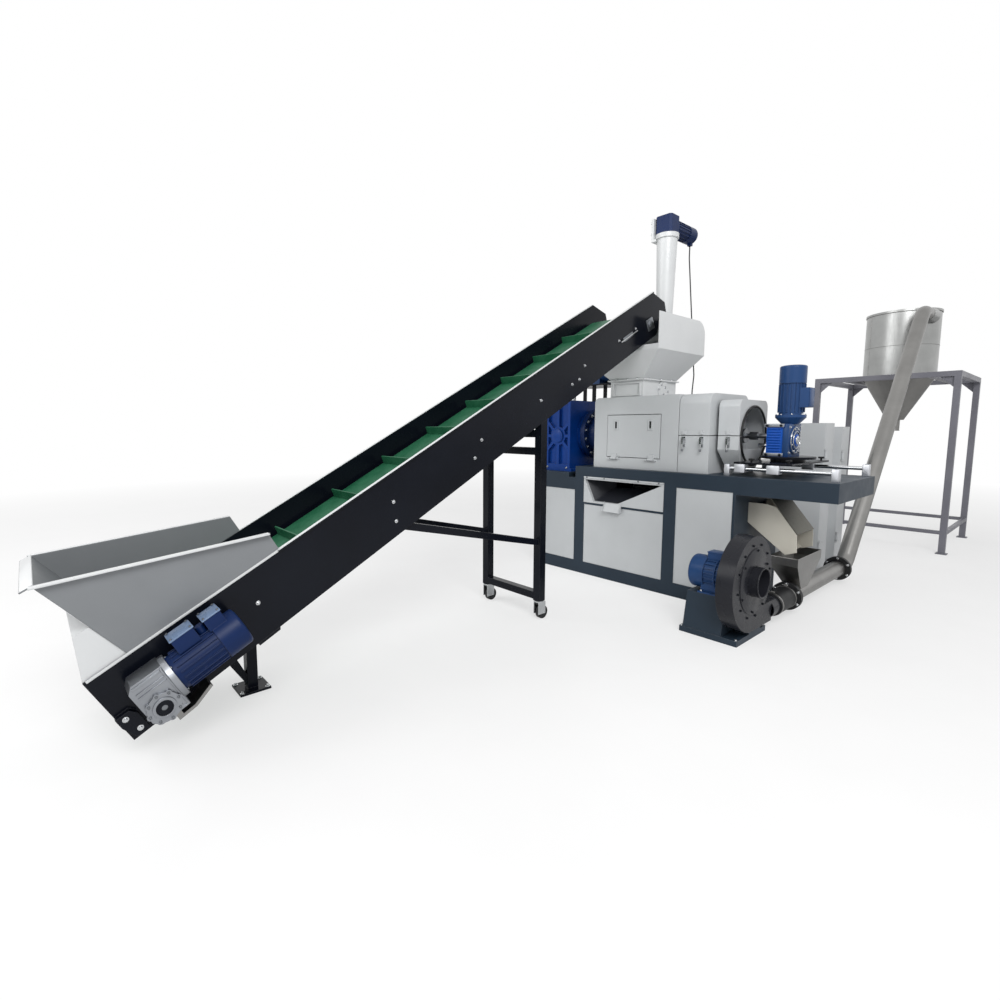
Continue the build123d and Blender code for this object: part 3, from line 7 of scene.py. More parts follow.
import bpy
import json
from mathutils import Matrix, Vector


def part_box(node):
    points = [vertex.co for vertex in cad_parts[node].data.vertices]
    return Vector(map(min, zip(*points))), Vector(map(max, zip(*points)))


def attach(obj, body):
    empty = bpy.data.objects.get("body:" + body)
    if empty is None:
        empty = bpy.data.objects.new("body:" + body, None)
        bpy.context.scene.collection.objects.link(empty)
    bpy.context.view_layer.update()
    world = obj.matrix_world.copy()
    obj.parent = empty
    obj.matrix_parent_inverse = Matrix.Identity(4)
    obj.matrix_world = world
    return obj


bl_info = {
    "name": "Pelletizing Line Finish",
    "version": (1, 0, 0),
    "blender": (4, 5, 0),
    "location": "3D View > Sidebar > Pelletizer",
    "description": "Adds finishes, fasteners and trims to a pelletizing line and stages it",
    "category": "Object",
}

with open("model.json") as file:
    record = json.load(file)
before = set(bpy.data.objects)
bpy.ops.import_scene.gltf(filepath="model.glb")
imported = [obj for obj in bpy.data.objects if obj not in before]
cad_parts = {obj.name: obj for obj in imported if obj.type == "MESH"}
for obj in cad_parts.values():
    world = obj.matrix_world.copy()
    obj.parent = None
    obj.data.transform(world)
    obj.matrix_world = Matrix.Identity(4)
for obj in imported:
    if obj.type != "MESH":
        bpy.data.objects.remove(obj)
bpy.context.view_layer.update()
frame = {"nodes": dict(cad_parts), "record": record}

import json
import math

import bpy
from mathutils import Matrix, Vector

MM = 0.001
RIGHT, UP = (1, 0, 0), (0, 0, 1)


def linear(hex_code):
    """Turn an sRGB hex value into linear red, green and blue."""
    parts = [int(hex_code[place:place + 2], 16) / 255 for place in (1, 3, 5)]
    return tuple(c / 12.92 if c <= 0.04045 else ((c + 0.055) / 1.055) ** 2.4 for c in parts)


def colour_property(name, hex_code, description):
    """Make a colour setting with its default given as an sRGB hex value."""
    return bpy.props.FloatVectorProperty(
        name=name, description=description, subtype="COLOR", size=3, min=0, max=1,
        default=linear(hex_code),
    )


class FinishColours(bpy.types.PropertyGroup):
    """Paint, metal and rubber colours of the line."""
    slate: colour_property("Frame slate", "#27333f", "Machine base and blower stand")
    stand: colour_property("Stand grey", "#74747c", "Silo stand")
    panel: colour_property("Panel grey", "#bfc2c4", "Housings, doors, cabinets, base panels and scoop")
    hopper: colour_property("Hopper grey", "#d2d4d5", "Feed hopper, throat, feeder column and folded rims")
    # Darker copy of the hopper's pale paint: painted shade on the intake's walls
    intake: colour_property("Intake grey", "#7c7f82", "Walls of the conveyor's intake hopper")
    cream: colour_property("Chute cream", "#d0ccc0", "Pellet chute")
    gearbox_blue: colour_property("Gearbox blue", "#0b3d8c", "Main gearbox")
    cutter_blue: colour_property("Cutter blue", "#1457b8", "Cutter gearbox")
    motor_blue: colour_property("Motor blue", "#23426f", "Motors and the cutter gearbox's end plate")
    # Paler blue: a painted highlight of the light on the lids' tops
    lid_blue: colour_property("Lid blue", "#6c81a0", "Lids of the conveyor motor's boxes")
    navy: colour_property("Drive navy", "#10254f", "Thrust housing and the conveyor's and feeder's drives")
    black: colour_property("Conveyor black", "#0d1018", "Conveyor sides, trolley, motor plate and carriage")
    charcoal: colour_property("Blower charcoal", "#232429", "Blower housing and its face plate")
    belt: colour_property("Belt green", "#175a3c", "Conveyor belt and its cleats")
    rubber: colour_property("Rubber black", "#141517", "Cable, couplings, seals, knobs and casters")
    zinc: colour_property("Zinc plating", "#c8cacc", "Bolts, latches, slide shafts and caster forks")


class FastenerSizes(bpy.types.PropertyGroup):
    """Sizes of the fasteners and trims."""
    bolt_width: bpy.props.FloatProperty(
        name="Bolt width", description="Width across the flats of a housing bolt",
        default=0.019, min=0.004, max=0.05, unit="LENGTH",
    )
    # The pale edge is a folded lip whose pale paint is partly a painted highlight
    lip_height: bpy.props.FloatProperty(
        name="Lip height", description="Height of the pale edge of the conveyor sides under the intake",
        default=0.012, min=0.004, max=0.03, unit="LENGTH",
    )
    seal_radius: bpy.props.FloatProperty(
        name="Seal radius",
        description="Radius of the die window's rubber bead; the air line's feed rim is 0.45 of it",
        default=0.009, min=0.002, max=0.02, unit="LENGTH",
    )


class StudioSettings(bpy.types.PropertyGroup):
    """Light, floor and camera of the stage."""
    floor_half: bpy.props.FloatProperty(
        name="Floor half width", description="Half the width of the pale floor",
        default=60.0, min=10.0, max=200.0, unit="LENGTH",
    )
    key_power: bpy.props.FloatProperty(
        name="Key light", description="Power of the large soft light",
        default=500.0, min=0.0, max=5000.0, unit="POWER",
    )
    fill_power: bpy.props.FloatProperty(
        name="Fill light", description="Power of the soft light from the feeding side",
        default=240.0, min=0.0, max=5000.0, unit="POWER",
    )
    ambient: bpy.props.FloatProperty(
        name="Ambient", description="Strength of the even light from all sides",
        default=0.5, min=0.0, max=2.0,
    )
    lens: bpy.props.FloatProperty(
        name="Lens", description="Focal length on a 36 mm sensor",
        default=18.92, min=8.0, max=100.0, unit="CAMERA",
    )


def add_node(material, kind, inputs=None, **settings):
    """Add one shader node; a (node, output) pair links an input and any other value sets it."""
    node = material.node_tree.nodes.new("ShaderNode" + kind)
    for key, value in settings.items():
        setattr(node, key, value)
    for key, value in (inputs or {}).items():
        if isinstance(value, tuple) and isinstance(value[0], bpy.types.Node):
            material.node_tree.links.new(value[0].outputs[value[1]], node.inputs[key])
        else:
            node.inputs[key].default_value = value
    return node


def new_material(name):
    """Start a material with no nodes."""
    material = bpy.data.materials.new(name)
    material.use_nodes = True
    material.node_tree.nodes.clear()
    return material


def close_material(material, inputs):
    """Give a material its shader, with each input linked or set."""
    shader = add_node(material, "BsdfPrincipled", inputs)
    add_node(material, "OutputMaterial", {"Surface": (shader, "BSDF")})
    return material


def pattern(material, size_mm, detail=3.0, stretch=(1, 1, 1)):
    """Noise whose grains are about size_mm wide on Object coordinates."""
    place = add_node(material, "TexCoord")
    turned = add_node(material, "Mapping", {"Vector": (place, "Object"), "Scale": stretch})
    return add_node(material, "TexNoise", {
        "Vector": (turned, "Vector"), "Scale": 1000 / size_mm, "Detail": detail, "Roughness": 0.55,
    })


def shades(material, grain, dark, light):
    """Colour that runs from dark to light along a pattern."""
    ramp = add_node(material, "MapRange", {"Value": (grain, "Fac"), "From Min": 0.35, "From Max": 0.65})
    return add_node(
        material, "Mix", {"Factor": (ramp, "Result"), "A": (*dark, 1), "B": (*light, 1)}, data_type="RGBA")


def uneven_gloss(material, grain, roughness):
    """Roughness that wavers round its mean along a pattern."""
    return add_node(material, "MapRange", {
        "Value": (grain, "Fac"), "From Min": 0.3, "From Max": 0.7,
        "To Min": roughness * 0.85, "To Max": roughness * 1.2,
    })


def scaled(colour, share):
    """A colour made darker or lighter by a share."""
    return tuple(min(1.0, c * share) for c in colour)


def edge_mask(material, radius_mm):
    """Mask that is bright on sharp edges, with the rounded normal it comes from."""
    rounded = add_node(material, "Bevel", {"Radius": radius_mm * MM}, samples=6)
    flat = add_node(material, "NewGeometry")
    dot = add_node(
        material, "VectorMath", {0: (rounded, "Normal"), 1: (flat, "Normal")}, operation="DOT_PRODUCT")
    mask = add_node(material, "MapRange", {"Value": (dot, "Value"), "From Min": 0.99, "From Max": 0.8})
    return mask, rounded


def painted_shade_inside(material, paint, mouth_y):
    """Darken a sheet behind its mouth with painted shade, for the shade that falls inside it."""
    place = add_node(material, "TexCoord")
    depth = add_node(material, "SeparateXYZ", {"Vector": (place, "Object")})
    inside = add_node(material, "MapRange", {
        "Value": (depth, "Y"), "From Min": mouth_y, "From Max": mouth_y + 10 * MM,
    })
    # Dark grey of the painted shade inside the mouth
    painted_shade_colour = (*linear("#24262c"), 1)
    return add_node(
        material, "Mix", {"Factor": (inside, "Result"), "A": (paint, "Result"), "B": painted_shade_colour},
        data_type="RGBA",
    )


# Linear grey that edges drift towards: partly worn paint, partly a painted edge highlight
WORN_AND_HIGHLIGHT_GREY = 0.55


def sprayed_steel(
        name, colour, roughness, coat, peel_mm=7.0, edge_wear_and_highlight=0.25, cloud=0.08, gloss=0.5, mouth_y=None):
    """Sheet or cast steel with sprayed paint: soft orange peel, faint clouding, edges lightened partly as
    rubbed paint and partly as a painted highlight, and painted shade behind a mouth when mouth_y is given.
    """
    material = new_material(name)
    edges, rounded = edge_mask(material, 5.0)
    clouds = pattern(material, 420, 4.0)
    tint = shades(material, clouds, scaled(colour, 1 - cloud), scaled(colour, 1 + cloud))
    # Edges lighten partly as rubbed paint, partly as a painted highlight
    wear_and_highlight = add_node(material, "Math", {0: (edges, "Result"), 1: edge_wear_and_highlight}, operation="MULTIPLY")
    worn_and_highlit_paint = tuple(c + (WORN_AND_HIGHLIGHT_GREY - c) * 0.35 for c in colour)
    paint = add_node(
        material, "Mix", {"Factor": (wear_and_highlight, "Value"), "A": (tint, "Result"), "B": (*worn_and_highlit_paint, 1)},
        data_type="RGBA",
    )
    # Painted shade inside a mouth, behind mouth_y
    if mouth_y is not None:
        paint = painted_shade_inside(material, paint, mouth_y)
    smear = uneven_gloss(material, pattern(material, 130, 5.0), roughness)
    peel = add_node(material, "Bump", {
        "Height": (pattern(material, peel_mm, 2.0), "Fac"), "Strength": 0.12, "Distance": 0.4 * MM,
        "Normal": (rounded, "Normal"),
    })
    return close_material(material, {
        "Base Color": (paint, "Result"), "Roughness": (smear, "Result"), "Normal": (peel, "Normal"),
        "Specular IOR Level": gloss, "Coat Weight": coat, "Coat Roughness": 0.12,
    })


def brushed_metal(name, colour, roughness, stretch, grain_mm=3.0, edge_mm=2.0):
    """Bare metal with fine brush lines or an even grain, and slightly clouded reflections."""
    material = new_material(name)
    tint = shades(material, pattern(material, 260, 4.0), scaled(colour, 0.9), scaled(colour, 1.06))
    lines = pattern(material, grain_mm, 2.0, stretch)
    sheen = uneven_gloss(material, lines, roughness)
    rounded = add_node(material, "Bevel", {"Radius": edge_mm * MM}, samples=4)
    bump = add_node(material, "Bump", {
        "Height": (lines, "Fac"), "Strength": 0.05, "Distance": 0.2 * MM, "Normal": (rounded, "Normal"),
    })
    return close_material(material, {
        "Base Color": (tint, "Result"), "Metallic": 1.0, "Roughness": (sheen, "Result"),
        "Normal": (bump, "Normal"),
    })


def rough_rubber(name, colour, roughness, grain_mm, bump_mm):
    """Moulded rubber or coated fabric: matt, a little dusty, with a fine grain."""
    material = new_material(name)
    dusty = tuple(c + 0.01 for c in colour)
    tint = shades(material, pattern(material, 90, 5.0), scaled(colour, 0.8), dusty)
    bump = add_node(material, "Bump", {
        "Height": (pattern(material, grain_mm), "Fac"), "Strength": 0.3, "Distance": bump_mm * MM,
    })
    return close_material(material, {
        "Base Color": (tint, "Result"), "Roughness": roughness, "Specular IOR Level": 0.3,
        "Normal": (bump, "Normal"),
    })


finishes = {}
# Grain of the bare metals: brush lines run along the axis whose scale is small
EVEN = (1, 1, 1)
ALONG_Z = (1, 1, 0.05)
ALONG_X = (0.05, 1, 1)


def make_finishes(colours):
    """Make each finish of the line from the colour settings."""
    c = {key: tuple(getattr(colours, key)) for key in FinishColours.__annotations__}
    finishes.update(
        # Polyester powder coat: satin, its orange peel drawn coarser than the real 2 mm to show
        slate_paint=sprayed_steel("slate_powder_coat", c["slate"], 0.4, 0.0, gloss=0.25),
        stand_paint=sprayed_steel("stand_powder_coat", c["stand"], 0.4, 0.0, gloss=0.35),
        # Stove enamel on sheet: pale, nearly flat, with soft wide highlights
        grey_panel=sprayed_steel("panel_stove_enamel", c["panel"], 0.36, 0.1, 9.0, 0.12, 0.03),
        white_paint=sprayed_steel("hopper_stove_enamel", c["hopper"], 0.33, 0.15, 9.0, 0.12, 0.03),
        # Intake walls: the pale enamel darkened as painted shade
        intake_paint=sprayed_steel("intake_enamel", c["intake"], 0.4, 0.0, 9.0, 0.12, 0.04, 0.4),
        # The scoop's enamel, with painted shade inside it behind its mouth
        white_scoop=sprayed_steel(
            "scoop_stove_enamel", c["panel"], 0.4, 0.1, 9.0, 0.15, 0.05, mouth_y=-0.426),
        cream_paint=sprayed_steel("chute_enamel", c["cream"], 0.4, 0.1, 9.0, 0.2, 0.05),
        # Alkyd enamel brushed and sprayed on grey iron: glossy, with the casting's lumps under it
        gearbox_enamel=sprayed_steel(
            "gearbox_alkyd_enamel", c["gearbox_blue"], 0.3, 0.05, 14.0, 0.1, 0.12, 0.2),
        cutter_enamel=sprayed_steel(
            "cutter_alkyd_enamel", c["cutter_blue"], 0.3, 0.05, 12.0, 0.1, 0.08, 0.2),
        blue_paint=sprayed_steel("motor_alkyd_enamel", c["motor_blue"], 0.32, 0.05, 12.0, 0.12, 0.1, 0.2),
        # Lids: the paler blue is a painted highlight of the light on their tops
        lid_paint=sprayed_steel("lid_alkyd_enamel", c["lid_blue"], 0.3, 0.1, 12.0, 0.15, 0.05, 0.4),
        navy_paint=sprayed_steel("drive_alkyd_enamel", c["navy"], 0.34, 0.0, 12.0, 0.12, 0.1, 0.15),
        # Two-coat gloss paint on folded sheet: near black, mirror-like along the panels
        black_paint=sprayed_steel("conveyor_gloss_paint", c["black"], 0.22, 0.0, 30.0, 0.12, 0.15, 0.15),
        # Semi-gloss paint on welded sheet: the charcoal of the blower
        blower_paint=sprayed_steel("blower_gloss_paint", c["charcoal"], 0.26, 0.0, 12.0, 0.12, 0.1, 0.18),
        # Machined cast plate left bare and oiled: mid grey
        bare_casting=brushed_metal("machined_casting", linear("#8d9196"), 0.42, EVEN, 6.0),
        # Ground tool steel: satin with a fine even grain
        steel=brushed_metal("ground_tool_steel", linear("#7f8286"), 0.32, EVEN, 5.0),
        # 304 stainless sheet, brushed lengthwise: darker on the air line, paler on the silo
        stainless=brushed_metal("brushed_304_stainless", linear("#8b8a88"), 0.34, ALONG_Z, 6.0, 0.5),
        silo_stainless=brushed_metal("rolled_304_stainless", linear("#a2a3a2"), 0.33, ALONG_Z, 6.0, 0.5),
        # Mill-finish sheet, oily and unpolished: olive grey
        raw_sheet=brushed_metal("mill_finish_sheet", linear("#66655c"), 0.42, EVEN, 6.0, 0.5),
        # Hard-chromed shafts and bright zinc-plated bolts, latches and forks: bright, crisp highlights
        chrome_rail=brushed_metal("hard_chrome_and_zinc", c["zinc"], 0.18, ALONG_X, 4.0),
        # Sand-cast aluminium: pale, with a coarse skin
        aluminium=brushed_metal("cast_aluminium", linear("#94979c"), 0.34, EVEN, 8.0),
        # Extruded aluminium, clear anodised: the bright bearing blocks of the slide
        anodised=brushed_metal("clear_anodised_aluminium", linear("#d7d9de"), 0.4, EVEN, 5.0),
        # PVC-coated belt: green with a pale sheen and a light fabric print
        green_belt=rough_rubber("pvc_belt", c["belt"], 0.45, 6.0, 0.5),
        # EPDM rubber: matt black hose couplings, cable sheath, seals and knobs
        cable_rubber=rough_rubber("epdm_rubber", c["rubber"], 0.5, 5.0, 0.4),
        # Polyurethane caster tread: a shade paler, dulled by dust
        caster_tyre=rough_rubber("polyurethane_tread", scaled(c["rubber"], 1.6), 0.5, 5.0, 0.3),
    )


# Nodes that look other than their slot's plain finish
NODE_FINISH = {
    "main_gearbox": "gearbox_enamel", "cutter_gearbox": "cutter_enamel", "blower_volute": "blower_paint",
    "chute_deflector": "raw_sheet", "conveyor_hopper": "intake_paint", "silo_frame": "stand_paint",
    "silo_shell": "silo_stainless", "feeder_gearmotor": "navy_paint", "conveyor_motor": "navy_paint",
}


# Slots of the finishes that aren't named as their slot is
FINISH_SLOT = {
    "bare_casting": "chrome_rail", "anodised": "chrome_rail", "lid_paint": "blue_paint",
    "gearbox_enamel": "blue_paint", "blower_paint": "slate_paint",
}


class PELLETIZER_OT_finishes(bpy.types.Operator):
    """Make the finishes and give each construction node its own"""
    bl_idname = "pelletizer.finishes"
    bl_label = "Finishes"

    def execute(self, context):
        make_finishes(context.scene.pelletizer_colours)
        for row in frame["record"]["subparts"]:
            node = frame["nodes"][row["node"]]
            finish = NODE_FINISH.get(row["node"], row["material_slot"])
            node.data.materials.clear()
            node.data.materials.append(finishes[finish])
        return {"FINISHED"}


def start_piece(*pieces):
    """Leave edit mode and select only the pieces given, if any, with the first one active."""
    if bpy.context.object and bpy.context.object.mode != "OBJECT":
        bpy.ops.object.mode_set(mode="OBJECT")
    bpy.ops.object.select_all(action="DESELECT")
    for piece in pieces:
        piece.select_set(True)
    if pieces:
        bpy.context.view_layer.objects.active = pieces[0]


def edit_faces(piece, wanted):
    """Enter edit mode with only the wanted faces of a piece selected."""
    bpy.ops.object.mode_set(mode="EDIT")
    bpy.ops.mesh.select_mode(type="FACE")
    bpy.ops.mesh.select_all(action="DESELECT")
    bpy.ops.object.mode_set(mode="OBJECT")
    for face in piece.data.polygons:
        face.select = wanted(face)
    bpy.ops.object.mode_set(mode="EDIT")


def apply_place():
    """Bake the active object's place, turn and scale into its mesh."""
    bpy.ops.object.transform_apply(location=True, rotation=True, scale=True)
    return bpy.context.object


def bevelled_box(low, high, bevel):
    """Box between two corners, in any order, with its edges rounded."""
    start_piece()
    low, high = Vector(map(min, low, high)), Vector(map(max, low, high))
    bpy.ops.mesh.primitive_cube_add(size=1, location=(low + high) / 2, scale=high - low)
    box = apply_place()
    bpy.ops.object.mode_set(mode="EDIT")
    bpy.ops.mesh.select_all(action="SELECT")
    bpy.ops.mesh.bevel(offset=bevel, segments=2, affect="EDGES")
    bpy.ops.object.mode_set(mode="OBJECT")
    return box


def bevelled_rod(start, end, radius, bevel, sides=24):
    """Round bar between two points with its rims rounded."""
    start_piece()
    start, end = Vector(start), Vector(end)
    turn = (end - start).to_track_quat("Z", "Y").to_euler()
    bpy.ops.mesh.primitive_cylinder_add(
        vertices=sides, radius=radius, depth=(end - start).length,
        location=(start + end) / 2, rotation=turn,
    )
    bar = apply_place()
    edit_faces(bar, lambda face: len(face.vertices) == sides)
    bpy.ops.mesh.bevel(offset=bevel, segments=2, affect="EDGES")
    bpy.ops.object.mode_set(mode="OBJECT")
    return bar


def bent_rod(points, radius, closed=False):
    """Round bar or bead along points, as a mesh."""
    curve = bpy.data.curves.new("bar", "CURVE")
    curve.dimensions = "3D"
    curve.bevel_depth = radius
    curve.bevel_resolution = 3
    curve.use_fill_caps = not closed
    line = curve.splines.new("POLY")
    line.points.add(len(points) - 1)
    for knot, place in zip(line.points, points):
        knot.co = (*place, 1)
    line.use_cyclic_u = closed
    bar = bpy.data.objects.new("bar", curve)
    bpy.context.scene.collection.objects.link(bar)
    start_piece(bar)
    bpy.ops.object.convert(target="MESH")
    return bpy.context.object


def copy_at(model, place):
    """Copy a modelled piece, with its own mesh, to a place given as a matrix."""
    copy = model.copy()
    copy.data = model.data.copy()
    copy.data.transform(place)
    bpy.context.scene.collection.objects.link(copy)
    return copy


def finish_piece(name, body, finish, parts, slot=None, smooth_deg=35):
    """Join parts into one named piece, shade it, give it its finish and let it ride on its body."""
    slot = slot or FINISH_SLOT.get(finish, finish)
    start_piece(*parts)
    if len(parts) > 1:
        bpy.ops.object.join()
    piece = bpy.context.object
    piece.name = name
    piece.data.name = name
    bpy.ops.object.shade_smooth_by_angle(angle=math.radians(smooth_deg))
    piece.data.materials.clear()
    piece.data.materials.append(finishes[finish])
    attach(piece, body)


def facing(place, normal):
    """Matrix that moves a piece modelled on +Z to a place with its axis along a normal."""
    turn = Vector(normal).to_track_quat("Z", "Y").to_matrix().to_4x4()
    return Matrix.Translation(Vector(place)) @ turn


def hex_bolt(width):
    """Hexagon head with a chamfered top on a washer, standing on +Z."""
    start_piece()
    bpy.ops.mesh.primitive_cylinder_add(
        vertices=6, radius=width / math.sqrt(3), depth=width * 0.62, location=(0, 0, width * 0.42))
    head = apply_place()
    for face in head.data.polygons:
        face.select = face.normal.z > 0.9
    bpy.ops.object.mode_set(mode="EDIT")
    bpy.ops.mesh.bevel(offset=width * 0.09, segments=1, affect="EDGES")
    bpy.ops.object.mode_set(mode="OBJECT")
    washer = bevelled_rod((0, 0, 0), (0, 0, width * 0.12), width * 0.85, width * 0.03, 20)
    start_piece(head, washer)
    bpy.ops.object.join()
    return bpy.context.object


def fasten(name, body, places, model, finish):
    """Copy a fastener to places on one body, given as (point, normal)."""
    copies = [copy_at(model, facing(point, normal)) for point, normal in places]
    bpy.data.objects.remove(model)
    finish_piece(name, body, finish, copies, smooth_deg=25)


def bolts_on(name, body, places, share):
    """Hexagon bolts on one body, their width a share of the housing bolts'."""
    width = bpy.context.scene.pelletizer_fasteners.bolt_width * share
    fasten(name, body, places, hex_bolt(width), "chrome_rail")


def arc_points(centre, normal, radius, start_deg, step_deg, count):
    """Points on a circle round a centre, a step apart."""
    turn = Vector(normal).to_track_quat("Z", "Y")
    points = []
    for number in range(count):
        angle = math.radians(start_deg + step_deg * number)
        arm = turn @ Vector((radius * math.cos(angle), radius * math.sin(angle), 0))
        points.append(Vector(centre) + arm)
    return points


def ring_places(centre, normal, radius, count, start_deg=0.0):
    """Evenly spaced places on a circle round a centre, as (point, normal)."""
    points = arc_points(centre, normal, radius, start_deg, 360 / count, count)
    return [(point, normal) for point in points]


# Axes of the barrel, the cutter's slide shafts, the force feeder and the motors
AXIS_Z = 1.38
SHAFT_YS, SHAFT_Z = (-0.345, 0.395), 1.13
FEEDER_X = -0.368
MAIN_MOTOR_Y, MAIN_MOTOR_Z = 0.23, 2.085
CUTTER_MOTOR_X = 0.742
BLOWER_Y, BLOWER_Z = -0.93, 0.422

# The feed conveyor's side panels, along which s runs up the slope and t stands square to it
SIDE_LENGTH = 4.734
TAIL_Z = 0.403
HEAD_Y, HEAD_Z = -0.327, 2.625
INCLINE = math.asin((HEAD_Z - TAIL_Z) / SIDE_LENGTH)
TAIL_Y = HEAD_Y - SIDE_LENGTH * math.cos(INCLINE)
SLOPE = Matrix.Translation((0, TAIL_Y, TAIL_Z)) @ Matrix.Rotation(INCLINE, 4, "X")
NEAR_X, FAR_X = -0.297, -0.935


def on_slope(parts):
    """Carry parts modelled as (x, s, t) to the conveyor's slope."""
    for part in parts:
        part.data.transform(SLOPE)
    return parts


def slope_places(places):
    """Carry places given as ((x, s, t), normal) to the conveyor's slope."""
    return [(SLOPE @ Vector(point), SLOPE.to_3x3() @ Vector(normal)) for point, normal in places]


def ring_bead(centre, normal, radius, thickness, start_deg=0.0, sweep_deg=360.0, steps=64):
    """Round bead along a circle, or along a part of it."""
    closed = sweep_deg >= 360.0
    count = steps if closed else steps + 1
    points = arc_points(centre, normal, radius, start_deg, sweep_deg / steps, count)
    return bent_rod(points, thickness, closed)


def bored(piece, start, end, radius, sides=48):
    """Bore a piece through along the line between two points."""
    along = (Vector(end) - Vector(start)) * 0.5
    cutter = bevelled_rod(Vector(start) - along, Vector(end) + along, radius, radius * 0.01, sides)
    hollow = piece.modifiers.new("bore", "BOOLEAN")
    hollow.object = cutter
    hollow.operation = "DIFFERENCE"
    start_piece(piece)
    bpy.ops.object.modifier_apply(modifier=hollow.name)
    bpy.ops.object.mode_set(mode="EDIT")
    bpy.ops.mesh.select_all(action="SELECT")
    bpy.ops.mesh.normals_make_consistent(inside=False)
    bpy.ops.object.mode_set(mode="OBJECT")
    bpy.data.objects.remove(cutter)
    return piece


def turned_disc(start, end, outer, inner, bevel, sides=48):
    """Flat ring with rounded rims between two points on its axis."""
    return bored(bevelled_rod(start, end, outer, bevel, sides), start, end, inner, sides)


def slope_strip(x0, x1, start, end, low, high, bevel):
    """Folded strip between two (s, t) points of the conveyor, low to high square to it."""
    run, rise = end[0] - start[0], end[1] - start[1]
    strip = bevelled_box((x0, 0, low), (x1, math.hypot(run, rise), high), bevel)
    turn = Matrix.Rotation(math.atan2(rise, run), 4, "X")
    strip.data.transform(SLOPE @ Matrix.Translation((0, *start)) @ turn)
    return strip


def star_knob(place, radius):
    """Plastic clamping knob with five lobes on its upright stud."""
    low, high = radius * 0.6, radius * 1.3
    parts = [bevelled_rod((0, 0, 0), (0, 0, radius * 0.7), radius * 0.35, radius * 0.05)]
    parts.append(bevelled_rod((0, 0, low), (0, 0, high), radius * 0.62, radius * 0.15))
    for number in range(5):
        angle = 2 * math.pi * number / 5
        x, y = radius * 0.68 * math.cos(angle), radius * 0.68 * math.sin(angle)
        parts.append(bevelled_rod((x, y, low), (x, y, high), radius * 0.34, radius * 0.12, 16))
    for part in parts:
        part.data.transform(facing(place, UP))
    return parts


def socket_screw(width):
    """Round-headed screw with a sunk hexagon, standing on +Z."""
    head = bevelled_rod((0, 0, 0), (0, 0, width * 0.5), width * 0.5, width * 0.1, 16)
    edit_faces(head, lambda face: face.center.z > width * 0.495)
    bpy.ops.mesh.inset(thickness=width * 0.12, depth=0)
    bpy.ops.mesh.inset(thickness=width * 0.01, depth=-width * 0.25)
    bpy.ops.object.mode_set(mode="OBJECT")
    return head


def screws_on(name, body, places, width, finish="steel"):
    """Round-headed screws on one body, at places given as (point, normal)."""
    fasten(name, body, places, socket_screw(width), finish)


def eye_bolt(place, size):
    """Lifting eye standing on a collar."""
    x, y, z = place
    ring = ring_bead((x, y, z + size * 0.75), RIGHT, size * 0.38, size * 0.1, steps=24)
    collar = bevelled_rod((x, y, z - size * 0.05), (x, y, z + size * 0.22), size * 0.34, size * 0.05)
    neck = bevelled_rod((x, y, z + size * 0.2), (x, y, z + size * 0.42), size * 0.16, size * 0.03)
    return [ring, collar, neck]


def bolt_rows(x_places, y_places, z):
    """Upright places at each crossing of the x and y values, as (point, normal)."""
    return [((x, y, z), UP) for x in x_places for y in y_places]


class PELLETIZER_OT_bolts(bpy.types.Operator):
    """Add the bolts of the gearbox, throat and feeder, and the screws of the slide's end blocks"""
    bl_idname = "pelletizer.bolts"
    bl_label = "Bolts"

    def execute(self, context):
        gear_low, gear_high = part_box("main_gearbox")
        thrust_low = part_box("thrust_housing")[0]
        foot_z, foot_inset = 1.03, 0.014
        gear = ring_places((thrust_low.x + 0.05, 0, AXIS_Z), RIGHT, 0.222, 16, 11)
        gear += bolt_rows(
            (gear_low.x + 0.04, gear_low.x + 0.3),
            (gear_low.y + foot_inset, gear_high.y - foot_inset), foot_z)
        bolts_on("drive_bolts", "machine", gear, 1.1)
        throat_low, throat_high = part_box("hopper_throat")
        near_flange_y, side_flange_x, plate_x = throat_low.y + 0.012, -0.364, -0.365
        throat = bolt_rows((-0.642, -0.541, -0.439), (near_flange_y,), throat_high.z)
        throat += bolt_rows((side_flange_x,), (-0.21, -0.02, 0.17), throat_high.z)
        for y, z in ((-0.048, 1.806), (-0.005, 1.85), (0.062, 1.826), (0.112, 1.79), (0.035, 1.762)):
            throat.append(((plate_x, y, z), RIGHT))
        bolts_on("throat_bolts", "machine", throat, 0.75)
        column_low, column_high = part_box("feeder_column")
        feeder = ring_places((FEEDER_X, 0, column_low.z + 0.014), UP, 0.092, 8)
        for y in (-0.07, 0.07):
            for drop in (0.03, 0.13):
                feeder.append(((column_low.x, y, column_high.z - drop), (-1, 0, 0)))
        bolts_on("feeder_bolts", "machine", feeder, 0.8)
        rail_low, rail_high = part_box("slide_rails")
        blocks = bolt_rows(
            (rail_low.x + 0.02, rail_high.x - 0.02),
            [y + aside for y in SHAFT_YS for aside in (-0.02, 0.02)], rail_high.z)
        screw_width = context.scene.pelletizer_fasteners.bolt_width * 0.6
        screws_on("slide_block_screws", "machine", blocks, screw_width)
        return {"FINISHED"}


